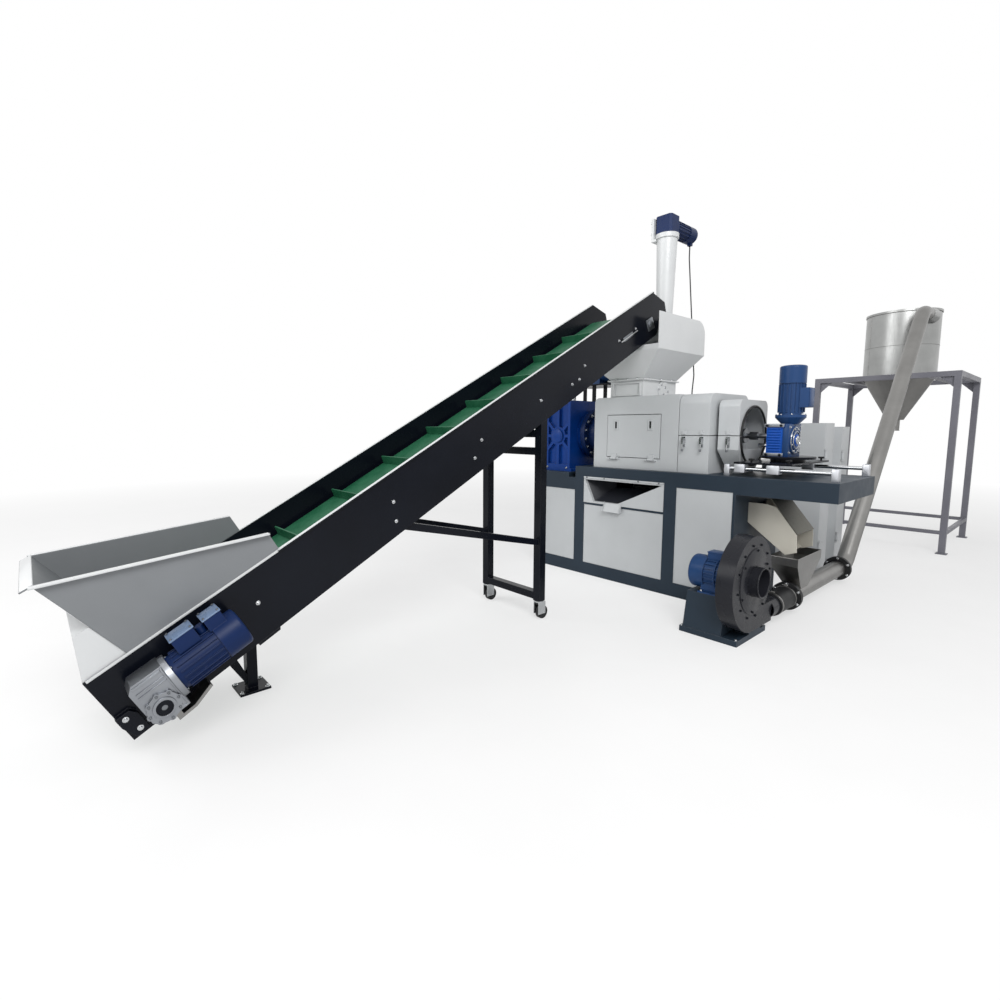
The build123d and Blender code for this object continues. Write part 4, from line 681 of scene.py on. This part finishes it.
class PELLETIZER_OT_conveyor_trim(bpy.types.Operator):
    """Add the conveyor's pale edges, folded lips whose pale paint is partly a painted highlight, and its
    side bolts, take-up screws, head bearings and foot bolts
    """
    bl_idname = "pelletizer.conveyor_trim"
    bl_label = "Conveyor trim"

    def execute(self, context):
        lip = context.scene.pelletizer_fasteners.lip_height / 3
        intake, rim_tail, rim_head = 0.931, (0.079, 0.4555), (0.937, 0.1045)
        # Past the panel inwards and outwards, its (s, t) ends, its lowest and highest, its bevel
        edges = (
            (0.008, 0.014, (intake, 0), (SIDE_LENGTH, 0), 0, lip, lip * 0.3),
            (0, 0.006, (0.012, 0), (intake, 0), -lip * 2, lip, lip * 0.3),
            (0.001, 0.0295, rim_tail, rim_head, -0.008, 0.0012, 0.002),
        )
        # Folded lips and rims in pale paint, partly a painted highlight along the top edges
        lips = []
        for inner, outer, *run in edges:
            lips.append(slope_strip(NEAR_X - inner, NEAR_X + outer, *run))
            lips.append(slope_strip(FAR_X - outer, FAR_X + inner, *run))
        lips.append(slope_strip(
            FAR_X + 0.002, NEAR_X - 0.002, (0.047, 0.4525), (0.096, 0.4525), -0.007, 0.001, 0.002))
        finish_piece("conveyor_lips", "machine", "white_paint", lips)
        places = []
        rows = (
            (4.091, -0.185), (4.358, -0.185), (3.589, -0.182), (3.483, -0.248), (3.388, -0.246),
            (2.386, -0.173), (2.28, -0.25), (1.62, -0.16), (1.58, -0.27), (0.72, -0.17), (3.02, -0.2),
        )
        for s, t in rows:
            places += [((NEAR_X, s, t), RIGHT), ((FAR_X, s, t), (-1, 0, 0))]
        bolts_on("conveyor_side_bolts", "machine", slope_places(places), 0.7)
        takeup, screws = [], []
        screw_t, drum_s, drum_t = -0.204, 4.575, -0.23
        for x, out in ((NEAR_X, 1), (FAR_X, -1)):
            takeup.append(bevelled_box((x, 4.15, -0.222), (x + out * 0.006, 4.3, -0.186), 0.002))
            screw_x = x + out * 0.012
            screws.append(bevelled_rod((screw_x, 4.1, screw_t), (screw_x, 4.36, screw_t), 0.006, 0.001, 12))
            takeup.append(bevelled_box(
                (x, drum_s - 0.05, drum_t - 0.05), (x + out * 0.014, drum_s + 0.05, drum_t + 0.05), 0.004))
            takeup.append(bevelled_rod(
                (x, drum_s, drum_t), (x + out * 0.026, drum_s, drum_t), 0.034, 0.004))
        finish_piece("take_up_plates", "machine", "bare_casting", on_slope(takeup))
        finish_piece("take_up_screws", "machine", "chrome_rail", on_slope(screws))
        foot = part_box("conveyor_foot")[1]
        bolts = bolt_rows((-0.705, -0.575), (foot.y - 0.015, foot.y - 0.15), 0.012)
        tail_x = -0.267
        bolts += slope_places([((tail_x, s, t), RIGHT) for s, t in ((0.03, -0.232), (0.05, -0.305))])
        bolts_on("conveyor_foot_bolts", "machine", bolts, 0.8)
        return {"FINISHED"}


class PELLETIZER_OT_worm_gearbox(bpy.types.Operator):
    """Add the worm gearbox's cover ring and ribs, a black disc of painted shade in the bore of its hollow
    shaft, and the lids of its motor's boxes, whose pale blue is a painted highlight
    """
    bl_idname = "pelletizer.worm_gearbox"
    bl_label = "Worm gearbox"

    def execute(self, context):
        face, wall = -0.127, -0.139
        centre = (0.174, -0.23)
        parts = [turned_disc((face - 0.002, *centre), (face + 0.006, *centre), 0.046, 0.034, 0.002)]
        # Lowest and highest (s, t) of three ribs and two rims, how proud they stand, their bevel
        ridges = (
            ((0.124, -0.092), (0.242, -0.08), 0.005, 0.0015),
            ((0.124, -0.118), (0.242, -0.112), 0.005, 0.0015),
            ((0.124, -0.136), (0.242, -0.13), 0.005, 0.0015),
            ((0.243, -0.288), (0.252, -0.076), 0.006, 0.002),
            ((0.13, -0.292), (0.25, -0.284), 0.006, 0.002),
        )
        for low, high, proud, bevel in ridges:
            parts.append(bevelled_box((wall - 0.001, *low), (wall + proud, *high), bevel))
        finish_piece("worm_gearbox_rim", "machine", "aluminium", on_slope(parts))
        # Black disc in the bore: painted shade of the hollow shaft's inside
        bore = turned_disc((face - 0.001, *centre), (face + 0.003, *centre), 0.033, 0.012, 0.001)
        finish_piece("worm_gearbox_bore", "machine", "black_paint", on_slope([bore]))
        cover = ring_places((face, *centre), RIGHT, 0.061, 8)
        screws_on("worm_cover_screws", "machine", slope_places(cover), 0.012)
        middle = (NEAR_X + 0.04 + face) / 2
        lids, screws = [], []
        for s0, s1, top in ((0.333, 0.432, -0.014), (0.476, 0.554, -0.022)):
            lid_top = top + 0.007
            lids.append(bevelled_box(
                (middle - 0.05, s0 - 0.005, top - 0.001), (middle + 0.05, s1 + 0.005, lid_top), 0.003))
            for x in (middle - 0.041, middle + 0.041):
                for s in (s0 + 0.006, s1 - 0.006):
                    screws.append(((x, s, lid_top), UP))
        # The lids' paler blue is a painted highlight of the light on their tops
        finish_piece("motor_box_lids", "machine", "lid_paint", on_slope(lids))
        screws += ring_places((middle, 0.278, -0.163), (0, 1, 0), 0.09, 4, 45)
        screws_on("motor_box_screws", "machine", slope_places(screws), 0.011)
        return {"FINISHED"}


class PELLETIZER_OT_cutter_trim(bpy.types.Operator):
    """Add the cutter gearbox's foot plates and end plate, the slide's bright blocks and the knobs"""
    bl_idname = "pelletizer.cutter_trim"
    bl_label = "Cutter trim"

    def execute(self, context):
        low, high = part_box("cutter_gearbox")
        left, right, half, foot_height, proud = 0.606, 0.749, 0.136, 0.026, 0.0015
        feet, screws = [], []
        for z0 in (low.z, high.z - foot_height):
            feet.append(bevelled_box(
                (left - proud, -half - proud, z0 + 0.0005),
                (right, half + proud, z0 + foot_height + proud), 0.003))
            for x in (left + 0.022, right - 0.022):
                for side in (-1, 1):
                    screws.append(((x, side * (half + proud), z0 + foot_height / 2), (0, side, 0)))
        finish_piece("cutter_gearbox_feet", "cutter_head", "bare_casting", feet)
        screws_on("cutter_foot_screws", "cutter_head", screws, 0.02, "black_paint")
        hub_z, stub_z = AXIS_Z - 0.03, AXIS_Z - 0.075
        hub = [
            bevelled_box((0.7365, -0.1275, low.z + 0.0005), (0.7795, 0.1275, high.z + 0.0005), 0.004),
            turned_disc((0.779, 0, hub_z), (0.7872, 0, hub_z), 0.1125, 0.081, 0.002),
            turned_disc((0.786, 0, hub_z), (0.7932, 0, hub_z), 0.0805, 0.046, 0.002),
        ]
        finish_piece("cutter_gearbox_end", "cutter_head", "blue_paint", hub)
        cap = [
            ring_bead((0.788, 0, hub_z), RIGHT, 0.1, 0.0035),
            ring_bead((0.794, 0, hub_z), RIGHT, 0.066, 0.0035),
            turned_disc((0.796, 0, hub_z), (0.804, 0, hub_z), 0.034, 0.016, 0.002),
            bevelled_rod((0.796, 0, hub_z), (0.802, 0, hub_z), 0.014, 0.002),
            bevelled_rod((0.5195, 0, stub_z), (0.6225, 0, stub_z), 0.0165, 0.002),
        ]
        finish_piece("cutter_hub_cap", "cutter_head", "chrome_rail", cap)
        bolts = ring_places((0.786, 0, hub_z), RIGHT, 0.09, 8, 22.5)
        corner_zs = (low.z + 0.03, high.z - 0.025)
        bolts += [((0.778, y, z), RIGHT) for y in (-0.105, 0.105) for z in corner_zs]
        bolts_on("cutter_gearbox_bolts", "cutter_head", bolts, 0.7)
        blocks, seats = [], []
        for y in SHAFT_YS:
            for x0, x1 in ((0.494, 0.571), (0.727, 0.814)):
                block = bevelled_box((x0, y - 0.036, 1.0995), (x1, y + 0.036, 1.1675), 0.003)
                blocks.append(bored(block, (x0, y, SHAFT_Z), (x1, y, SHAFT_Z), 0.0175))
            for x0, x1 in ((0.414, 0.456), (1.144, 1.186)):
                seats.append(bevelled_box((x0, y - 0.031, 1.07), (x1, y + 0.031, 1.161), 0.003))
        finish_piece("bearing_blocks", "carriage", "anodised", blocks)
        finish_piece("shaft_seats", "machine", "anodised", seats)
        plate_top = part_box("carriage_plate")[0].z + 0.082
        knobs = []
        for x, y in ((0.6, -0.33), (0.86, -0.33), (0.86, 0.38)):
            knobs += star_knob((x, y, plate_top), 0.022)
        finish_piece("carriage_knobs", "carriage", "cable_rubber", knobs)
        motor_flange = ring_places((CUTTER_MOTOR_X, 0, 1.546), UP, 0.0985, 8, 22.5)
        bolts_on("cutter_motor_bolts", "cutter_head", motor_flange, 0.6)
        lid = bevelled_box((0.876, -0.05, 1.606), (0.882, 0.05, 1.746), 0.002)
        finish_piece("cutter_motor_box_lid", "cutter_head", "blue_paint", [lid])
        return {"FINISHED"}


class PELLETIZER_OT_blower_trim(bpy.types.Operator):
    """Add the blower's face ring, rolled inlet lip, rim screws, motor band and feet"""
    bl_idname = "pelletizer.blower_trim"
    bl_label = "Blower trim"

    def execute(self, context):
        y, z, face = BLOWER_Y, BLOWER_Z, 0.9
        plate = turned_disc((face - 0.001, y, z), (face + 0.005, y, z), 0.225, 0.103, 0.002, 64)
        lip = ring_bead((face + 0.058, y, z), RIGHT, 0.099, 0.006)
        hub = bevelled_rod((face - 0.068, y, z), (face - 0.04, y, z), 0.05, 0.01)
        finish_piece("blower_face_plate", "machine", "blower_paint", [plate, lip, hub])
        rim = ring_places((face, y, z), RIGHT, 0.251, 12, 10)
        rim += ring_places((face + 0.005, y, z), RIGHT, 0.21, 6, 25)
        screws_on("blower_screws", "machine", rim, 0.016, "black_paint")
        flange_x, foot_top, foot_ys = 0.79, z - 0.12, (y - 0.1, y + 0.1)
        feet = [turned_disc((flange_x - 0.118, y, z), (flange_x - 0.108, y, z), 0.1195, 0.1, 0.002)]
        for foot_y in foot_ys:
            feet.append(bevelled_box(
                (flange_x - 0.22, foot_y - 0.02, foot_top - 0.012),
                (flange_x - 0.05, foot_y + 0.02, foot_top), 0.003))
        finish_piece("blower_motor_feet", "machine", "blue_paint", feet)
        bolts = bolt_rows((flange_x - 0.2, flange_x - 0.07), foot_ys, foot_top)
        low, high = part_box("blower_stand")
        bolts += bolt_rows((low.x + 0.012, high.x - 0.012), (low.y + 0.012, high.y - 0.012), 0.04)
        bolts_on("blower_bolts", "machine", bolts, 0.7)
        return {"FINISHED"}


class PELLETIZER_OT_air_line_trim(bpy.types.Operator):
    """Add the ring bolts and clamps of the conveying pipe and the rolled rim of its feed hopper"""
    bl_idname = "pelletizer.air_line_trim"
    bl_label = "Air line trim"

    def execute(self, context):
        x, z = 0.845, 0.145
        places = []
        for y, side in ((-0.17, -1), (1.08, -1), (-0.13, 1)):
            places += ring_places((x, y, z), (0, side, 0), 0.094, 6, 30)
        bolts_on("pipe_ring_bolts", "machine", places, 0.7)
        clamps = []
        for y in (-0.455, -0.2):
            clamps.append(turned_disc((x, y - 0.007, z), (x, y + 0.007, z), 0.0865, 0.078, 0.001, 64))
            clamps.append(bevelled_rod(
                (x - 0.02, y, z + 0.093), (x + 0.02, y, z + 0.093), 0.006, 0.001, 12))
        finish_piece("hose_clamps", "machine", "stainless", clamps)
        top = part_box("venturi_feeder")[1].z
        left, right, near, far = 0.747, 0.943, -0.265, 0.244
        rim = [(left, near, top), (right, near, top), (right, far, top), (left, far, top)]
        bead = bent_rod(rim, context.scene.pelletizer_fasteners.seal_radius * 0.45, closed=True)
        finish_piece("venturi_rolled_rim", "machine", "stainless", [bead])
        return {"FINISHED"}


class PELLETIZER_OT_seals(bpy.types.Operator):
    """Add the rubber bead of the die chamber's round window, split with its cover"""
    bl_idname = "pelletizer.seals"
    bl_label = "Seals"

    def execute(self, context):
        thickness = context.scene.pelletizer_fasteners.seal_radius
        centre, window_radius, split_deg = (0.477, 0, AXIS_Z), 0.242, 1.0
        for name, body, start_deg in (("window_bead_a", "machine", 180), ("window_bead_b", "die_lid", 0)):
            bead = ring_bead(
                centre, RIGHT, window_radius, thickness, start_deg + split_deg / 2, 180 - split_deg)
            finish_piece(name, body, "cable_rubber", [bead])
        return {"FINISHED"}


class PELLETIZER_OT_silo_trim(bpy.types.Operator):
    """Add the silo's rolled rim, weld seams, flange bolts and outlet ring"""
    bl_idname = "pelletizer.silo_trim"
    bl_label = "Silo trim"

    def execute(self, context):
        x, y, radius = 0.62, 3.938, 0.367
        top, stand_top, outlet_z = 2.860, 2.074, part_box("silo_cone")[0].z
        # Height, radius and thickness of each round bead
        beads = (
            (top - 0.024, radius + 0.005, 0.004), (top - 0.42, radius, 0.0025),
            (stand_top + 0.01, radius + 0.001, 0.004), (outlet_z + 0.004, 0.052, 0.004),
            (1.545, 0.088, 0.003),
        )
        seams = [ring_bead((x, y, z), UP, size, thickness) for z, size, thickness in beads]
        side = (x - radius * 0.72, y - radius * 0.694)
        seams.append(bent_rod([(*side, stand_top + 0.012), (*side, top - 0.026)], 0.0025))
        finish_piece("silo_seams", "machine", "stainless", seams)
        places = ring_places((x, y, stand_top + 0.008), UP, radius + 0.045, 16)
        bolts_on("silo_flange_bolts", "machine", places, 0.8)
        return {"FINISHED"}


class PELLETIZER_OT_motor_trim(bpy.types.Operator):
    """Add the fan grilles, the lifting eyes, the blower motor's lid and the gearbox's hub"""
    bl_idname = "pelletizer.motor_trim"
    bl_label = "Motor trim"

    def execute(self, context):
        # Each fan cover's centre, the way it faces, its radius and its body
        covers = (
            ((0.49, BLOWER_Y, BLOWER_Z), (-1, 0, 0), 0.118, "machine"),
            ((-1.0, MAIN_MOTOR_Y, MAIN_MOTOR_Z), RIGHT, 0.16, "machine"),
            ((CUTTER_MOTOR_X, 0, 1.925), UP, 0.093, "cutter_head"),
            ((FEEDER_X, 0.424, 3.273), (0, 1, 0), 0.076, "machine"),
        )
        grilles = {"machine": [], "cutter_head": []}
        for centre, normal, radius, body in covers:
            back = Vector(centre) - Vector(normal) * 0.001
            for share in (0.25, 0.42, 0.59, 0.76):
                grilles[body].append(ring_bead(back, normal, radius * share, 0.003, steps=40))
        finish_piece("fan_grilles", "machine", "black_paint", grilles["machine"])
        finish_piece("cutter_fan_grille", "cutter_head", "black_paint", grilles["cutter_head"])
        gear_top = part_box("main_gearbox")[1].z
        eyes = eye_bolt((-1.48, -0.25, gear_top), 0.06) + eye_bolt((-1.2, -0.25, gear_top), 0.06)
        eyes += eye_bolt((-1.25, MAIN_MOTOR_Y, MAIN_MOTOR_Z + 0.148), 0.05)
        finish_piece("lifting_eyes", "machine", "chrome_rail", eyes)
        lid = bevelled_box((0.596, -0.979, 0.571), (0.704, -0.881, 0.579), 0.002)
        finish_piece("blower_motor_box_lid", "machine", "blue_paint", [lid])
        hub_x, hub_z = -1.33, 1.363
        hub = turned_disc((hub_x, -0.353, hub_z), (hub_x, -0.349, hub_z), 0.07, 0.056, 0.002)
        finish_piece("gearbox_hub_ring", "machine", "gearbox_enamel", [hub])
        return {"FINISHED"}


class PELLETIZER_OT_locks(bpy.types.Operator):
    """Add the cabinets' locks, the door's slots, the clamps' knobs and the scoop's screws"""
    bl_idname = "pelletizer.locks"
    bl_label = "Locks"

    def execute(self, context):
        for letter in "ab":
            low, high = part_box("cabinet_door_" + letter)
            x, face = low.x + 0.06, low.y + 0.01
            locks = []
            for z in (high.z - 0.18, 0.36):
                locks.append(turned_disc(
                    (x, face + 0.001, z), (x, face - 0.006, z), 0.017, 0.006, 0.001, 24))
                locks.append(bevelled_box(
                    (x - 0.002, face - 0.005, z - 0.009), (x + 0.002, face, z + 0.009), 0.001))
            finish_piece("cabinet_locks_" + letter, "cabinet_" + letter, "cable_rubber", locks)
        slots = []
        for x in (-0.603, -0.250):
            slots.append(bevelled_box((x - 0.0085, -0.3705, 1.444), (x + 0.0085, -0.358, 1.502), 0.004))
        finish_piece("door_slots", "door", "cable_rubber", slots)
        knobs = []
        for x, face in ((0.062, -0.36), (0.216, -0.36), (0.388, -0.267)):
            stem_y, pin_y, pin_z = face - 0.024, face - 0.02, AXIS_Z - 0.03
            knobs.append(bevelled_rod(
                (x, stem_y, AXIS_Z - 0.13), (x, stem_y, AXIS_Z - 0.106), 0.009, 0.003, 16))
            knobs.append(bevelled_rod(
                (x - 0.014, pin_y, pin_z), (x + 0.014, pin_y, pin_z), 0.005, 0.001, 12))
        finish_piece("clamp_knobs", "machine", "steel", knobs, "chrome_rail")
        screws = [((x, -0.448, 0.969), (0, -1, 0)) for x in (-0.86, -0.66, -0.3, -0.1)]
        screws_on("scoop_screws", "machine", screws, 0.014)
        return {"FINISHED"}


class PELLETIZER_OT_studio(bpy.types.Operator):
    """Add the pale floor, soft studio light and the camera at the viewing angle"""
    bl_idname = "pelletizer.studio"
    bl_label = "Studio"

    def execute(self, context):
        studio = context.scene.pelletizer_studio
        add_floor(studio)
        add_world(studio)
        add_lights(studio)
        add_camera(studio)
        context.scene.view_settings.view_transform = "Standard"
        return {"FINISHED"}


def add_floor(studio):
    """Pale matt floor that the camera sees fade to white far off."""
    start_piece()
    bpy.ops.mesh.primitive_plane_add(size=2 * studio.floor_half, location=(0, 0, 0))
    floor = apply_place()
    floor.name = "studio_floor"
    material = new_material("pale_floor")
    tint = shades(material, pattern(material, 900), (0.86, 0.86, 0.86), (0.9, 0.9, 0.9))
    matt = add_node(material, "BsdfPrincipled", {"Base Color": (tint, "Result"), "Roughness": 0.95})
    place = add_node(material, "TexCoord")
    reach = add_node(material, "VectorMath", {0: (place, "Object")}, operation="LENGTH")
    far = add_node(material, "MapRange", {
        "Value": (reach, "Value"), "From Min": 5.0, "From Max": 14.0, "To Min": 0.55, "To Max": 1.0,
    })
    path = add_node(material, "LightPath")
    share = add_node(
        material, "Math", {0: (far, "Result"), 1: (path, "Is Camera Ray")}, operation="MULTIPLY")
    white = add_node(material, "Emission", {"Color": (1, 1, 1, 1), "Strength": 1.0})
    mix = add_node(
        material, "MixShader", {"Fac": (share, "Value"), 1: (matt, "BSDF"), 2: (white, "Emission")})
    add_node(material, "OutputMaterial", {"Surface": (mix, "Shader")})
    floor.data.materials.append(material)


def add_world(studio):
    """Even light from all sides, seen as white by the camera, in reflections and through glass."""
    world = bpy.data.worlds.new("studio_world")
    bpy.context.scene.world = world
    world.use_nodes = True
    world.node_tree.nodes.clear()
    path = add_node(world, "LightPath")
    seen = add_node(
        world, "Math", {0: (path, "Is Camera Ray"), 1: (path, "Is Glossy Ray")}, operation="MAXIMUM")
    seen = add_node(
        world, "Math", {0: (seen, "Value"), 1: (path, "Is Transmission Ray")}, operation="MAXIMUM")
    light = add_node(world, "Background", {"Color": (1, 1, 1, 1), "Strength": studio.ambient})
    shown = add_node(world, "Background", {"Color": (1, 1, 1, 1), "Strength": 1.0})
    mix = add_node(world, "MixShader", {
        "Fac": (seen, "Value"), 1: (light, "Background"), 2: (shown, "Background"),
    })
    add_node(world, "OutputWorld", {"Surface": (mix, "Shader")})


def add_area(name, location, target, size, power):
    """Large soft light aimed at a point."""
    light = bpy.data.lights.new(name, "AREA")
    light.shape = "RECTANGLE"
    light.size, light.size_y = size
    light.energy = power
    lamp = bpy.data.objects.new(name, light)
    lamp.location = location
    lamp.rotation_euler = (Vector(target) - Vector(location)).to_track_quat("-Z", "Y").to_euler()
    bpy.context.scene.collection.objects.link(lamp)


def add_lights(studio):
    """Key from above the cutter side, fill from the feeding side."""
    add_area("key_light", (5.5, -5.5, 6.5), (0, -0.5, 1.2), (5, 4), studio.key_power)
    add_area("fill_light", (-4.0, -8.0, 5.0), (-0.5, -1.0, 1.2), (6, 4), studio.fill_power)


CAMERA_PLACE = (2.298, -4.617, 1.450)
CAMERA_RIGHT = (0.6427, 0.7661, -0.0012)
CAMERA_DOWN = (0.0813, -0.0697, -0.9942)
CAMERA_FORWARD = (-0.7618, 0.6389, -0.1071)
CAMERA_SHIFT = (0.0325, -0.0157)


def add_camera(studio):
    """Camera at the place solved from the machine's straight edges."""
    data = bpy.data.cameras.new("camera")
    data.lens = studio.lens
    data.sensor_width = 36
    data.shift_x, data.shift_y = CAMERA_SHIFT
    data.clip_end = 200
    camera = bpy.data.objects.new("camera", data)
    right, up, back = Vector(CAMERA_RIGHT), -Vector(CAMERA_DOWN), -Vector(CAMERA_FORWARD)
    turn = Matrix((right, up, back)).transposed().to_4x4()
    camera.matrix_world = Matrix.Translation(CAMERA_PLACE) @ turn
    bpy.context.scene.collection.objects.link(camera)
    bpy.context.scene.camera = camera


OPERATORS = (
    PELLETIZER_OT_studio, PELLETIZER_OT_finishes, PELLETIZER_OT_bolts, PELLETIZER_OT_conveyor_trim,
    PELLETIZER_OT_worm_gearbox, PELLETIZER_OT_cutter_trim, PELLETIZER_OT_blower_trim,
    PELLETIZER_OT_air_line_trim, PELLETIZER_OT_seals, PELLETIZER_OT_silo_trim,
    PELLETIZER_OT_motor_trim, PELLETIZER_OT_locks,
)


class PELLETIZER_PT_sidebar(bpy.types.Panel):
    """Sidebar panel that lists the pieces and their settings"""
    bl_idname = "PELLETIZER_PT_sidebar"
    bl_label = "Pelletizing Line"
    bl_space_type = "VIEW_3D"
    bl_region_type = "UI"
    bl_category = "Pelletizer"

    def draw(self, context):
        for operator in OPERATORS:
            self.layout.operator(operator.bl_idname)
        for group in SETTINGS:
            settings = getattr(context.scene, group)
            for key in SETTINGS[group].__annotations__:
                self.layout.prop(settings, key)


SETTINGS = {
    "pelletizer_colours": FinishColours,
    "pelletizer_fasteners": FastenerSizes,
    "pelletizer_studio": StudioSettings,
}


def register():
    for group, settings in SETTINGS.items():
        bpy.utils.register_class(settings)
        setattr(bpy.types.Scene, group, bpy.props.PointerProperty(type=settings))
    for operator in OPERATORS:
        bpy.utils.register_class(operator)
    bpy.utils.register_class(PELLETIZER_PT_sidebar)


def unregister():
    bpy.utils.unregister_class(PELLETIZER_PT_sidebar)
    for operator in reversed(OPERATORS):
        bpy.utils.unregister_class(operator)
    for group, settings in SETTINGS.items():
        delattr(bpy.types.Scene, group)
        bpy.utils.unregister_class(settings)


def main():
    register()
    for operator in OPERATORS:
        area, name = operator.bl_idname.split(".")
        getattr(getattr(bpy.ops, area), name)()


if __name__ == "__main__":
    main()
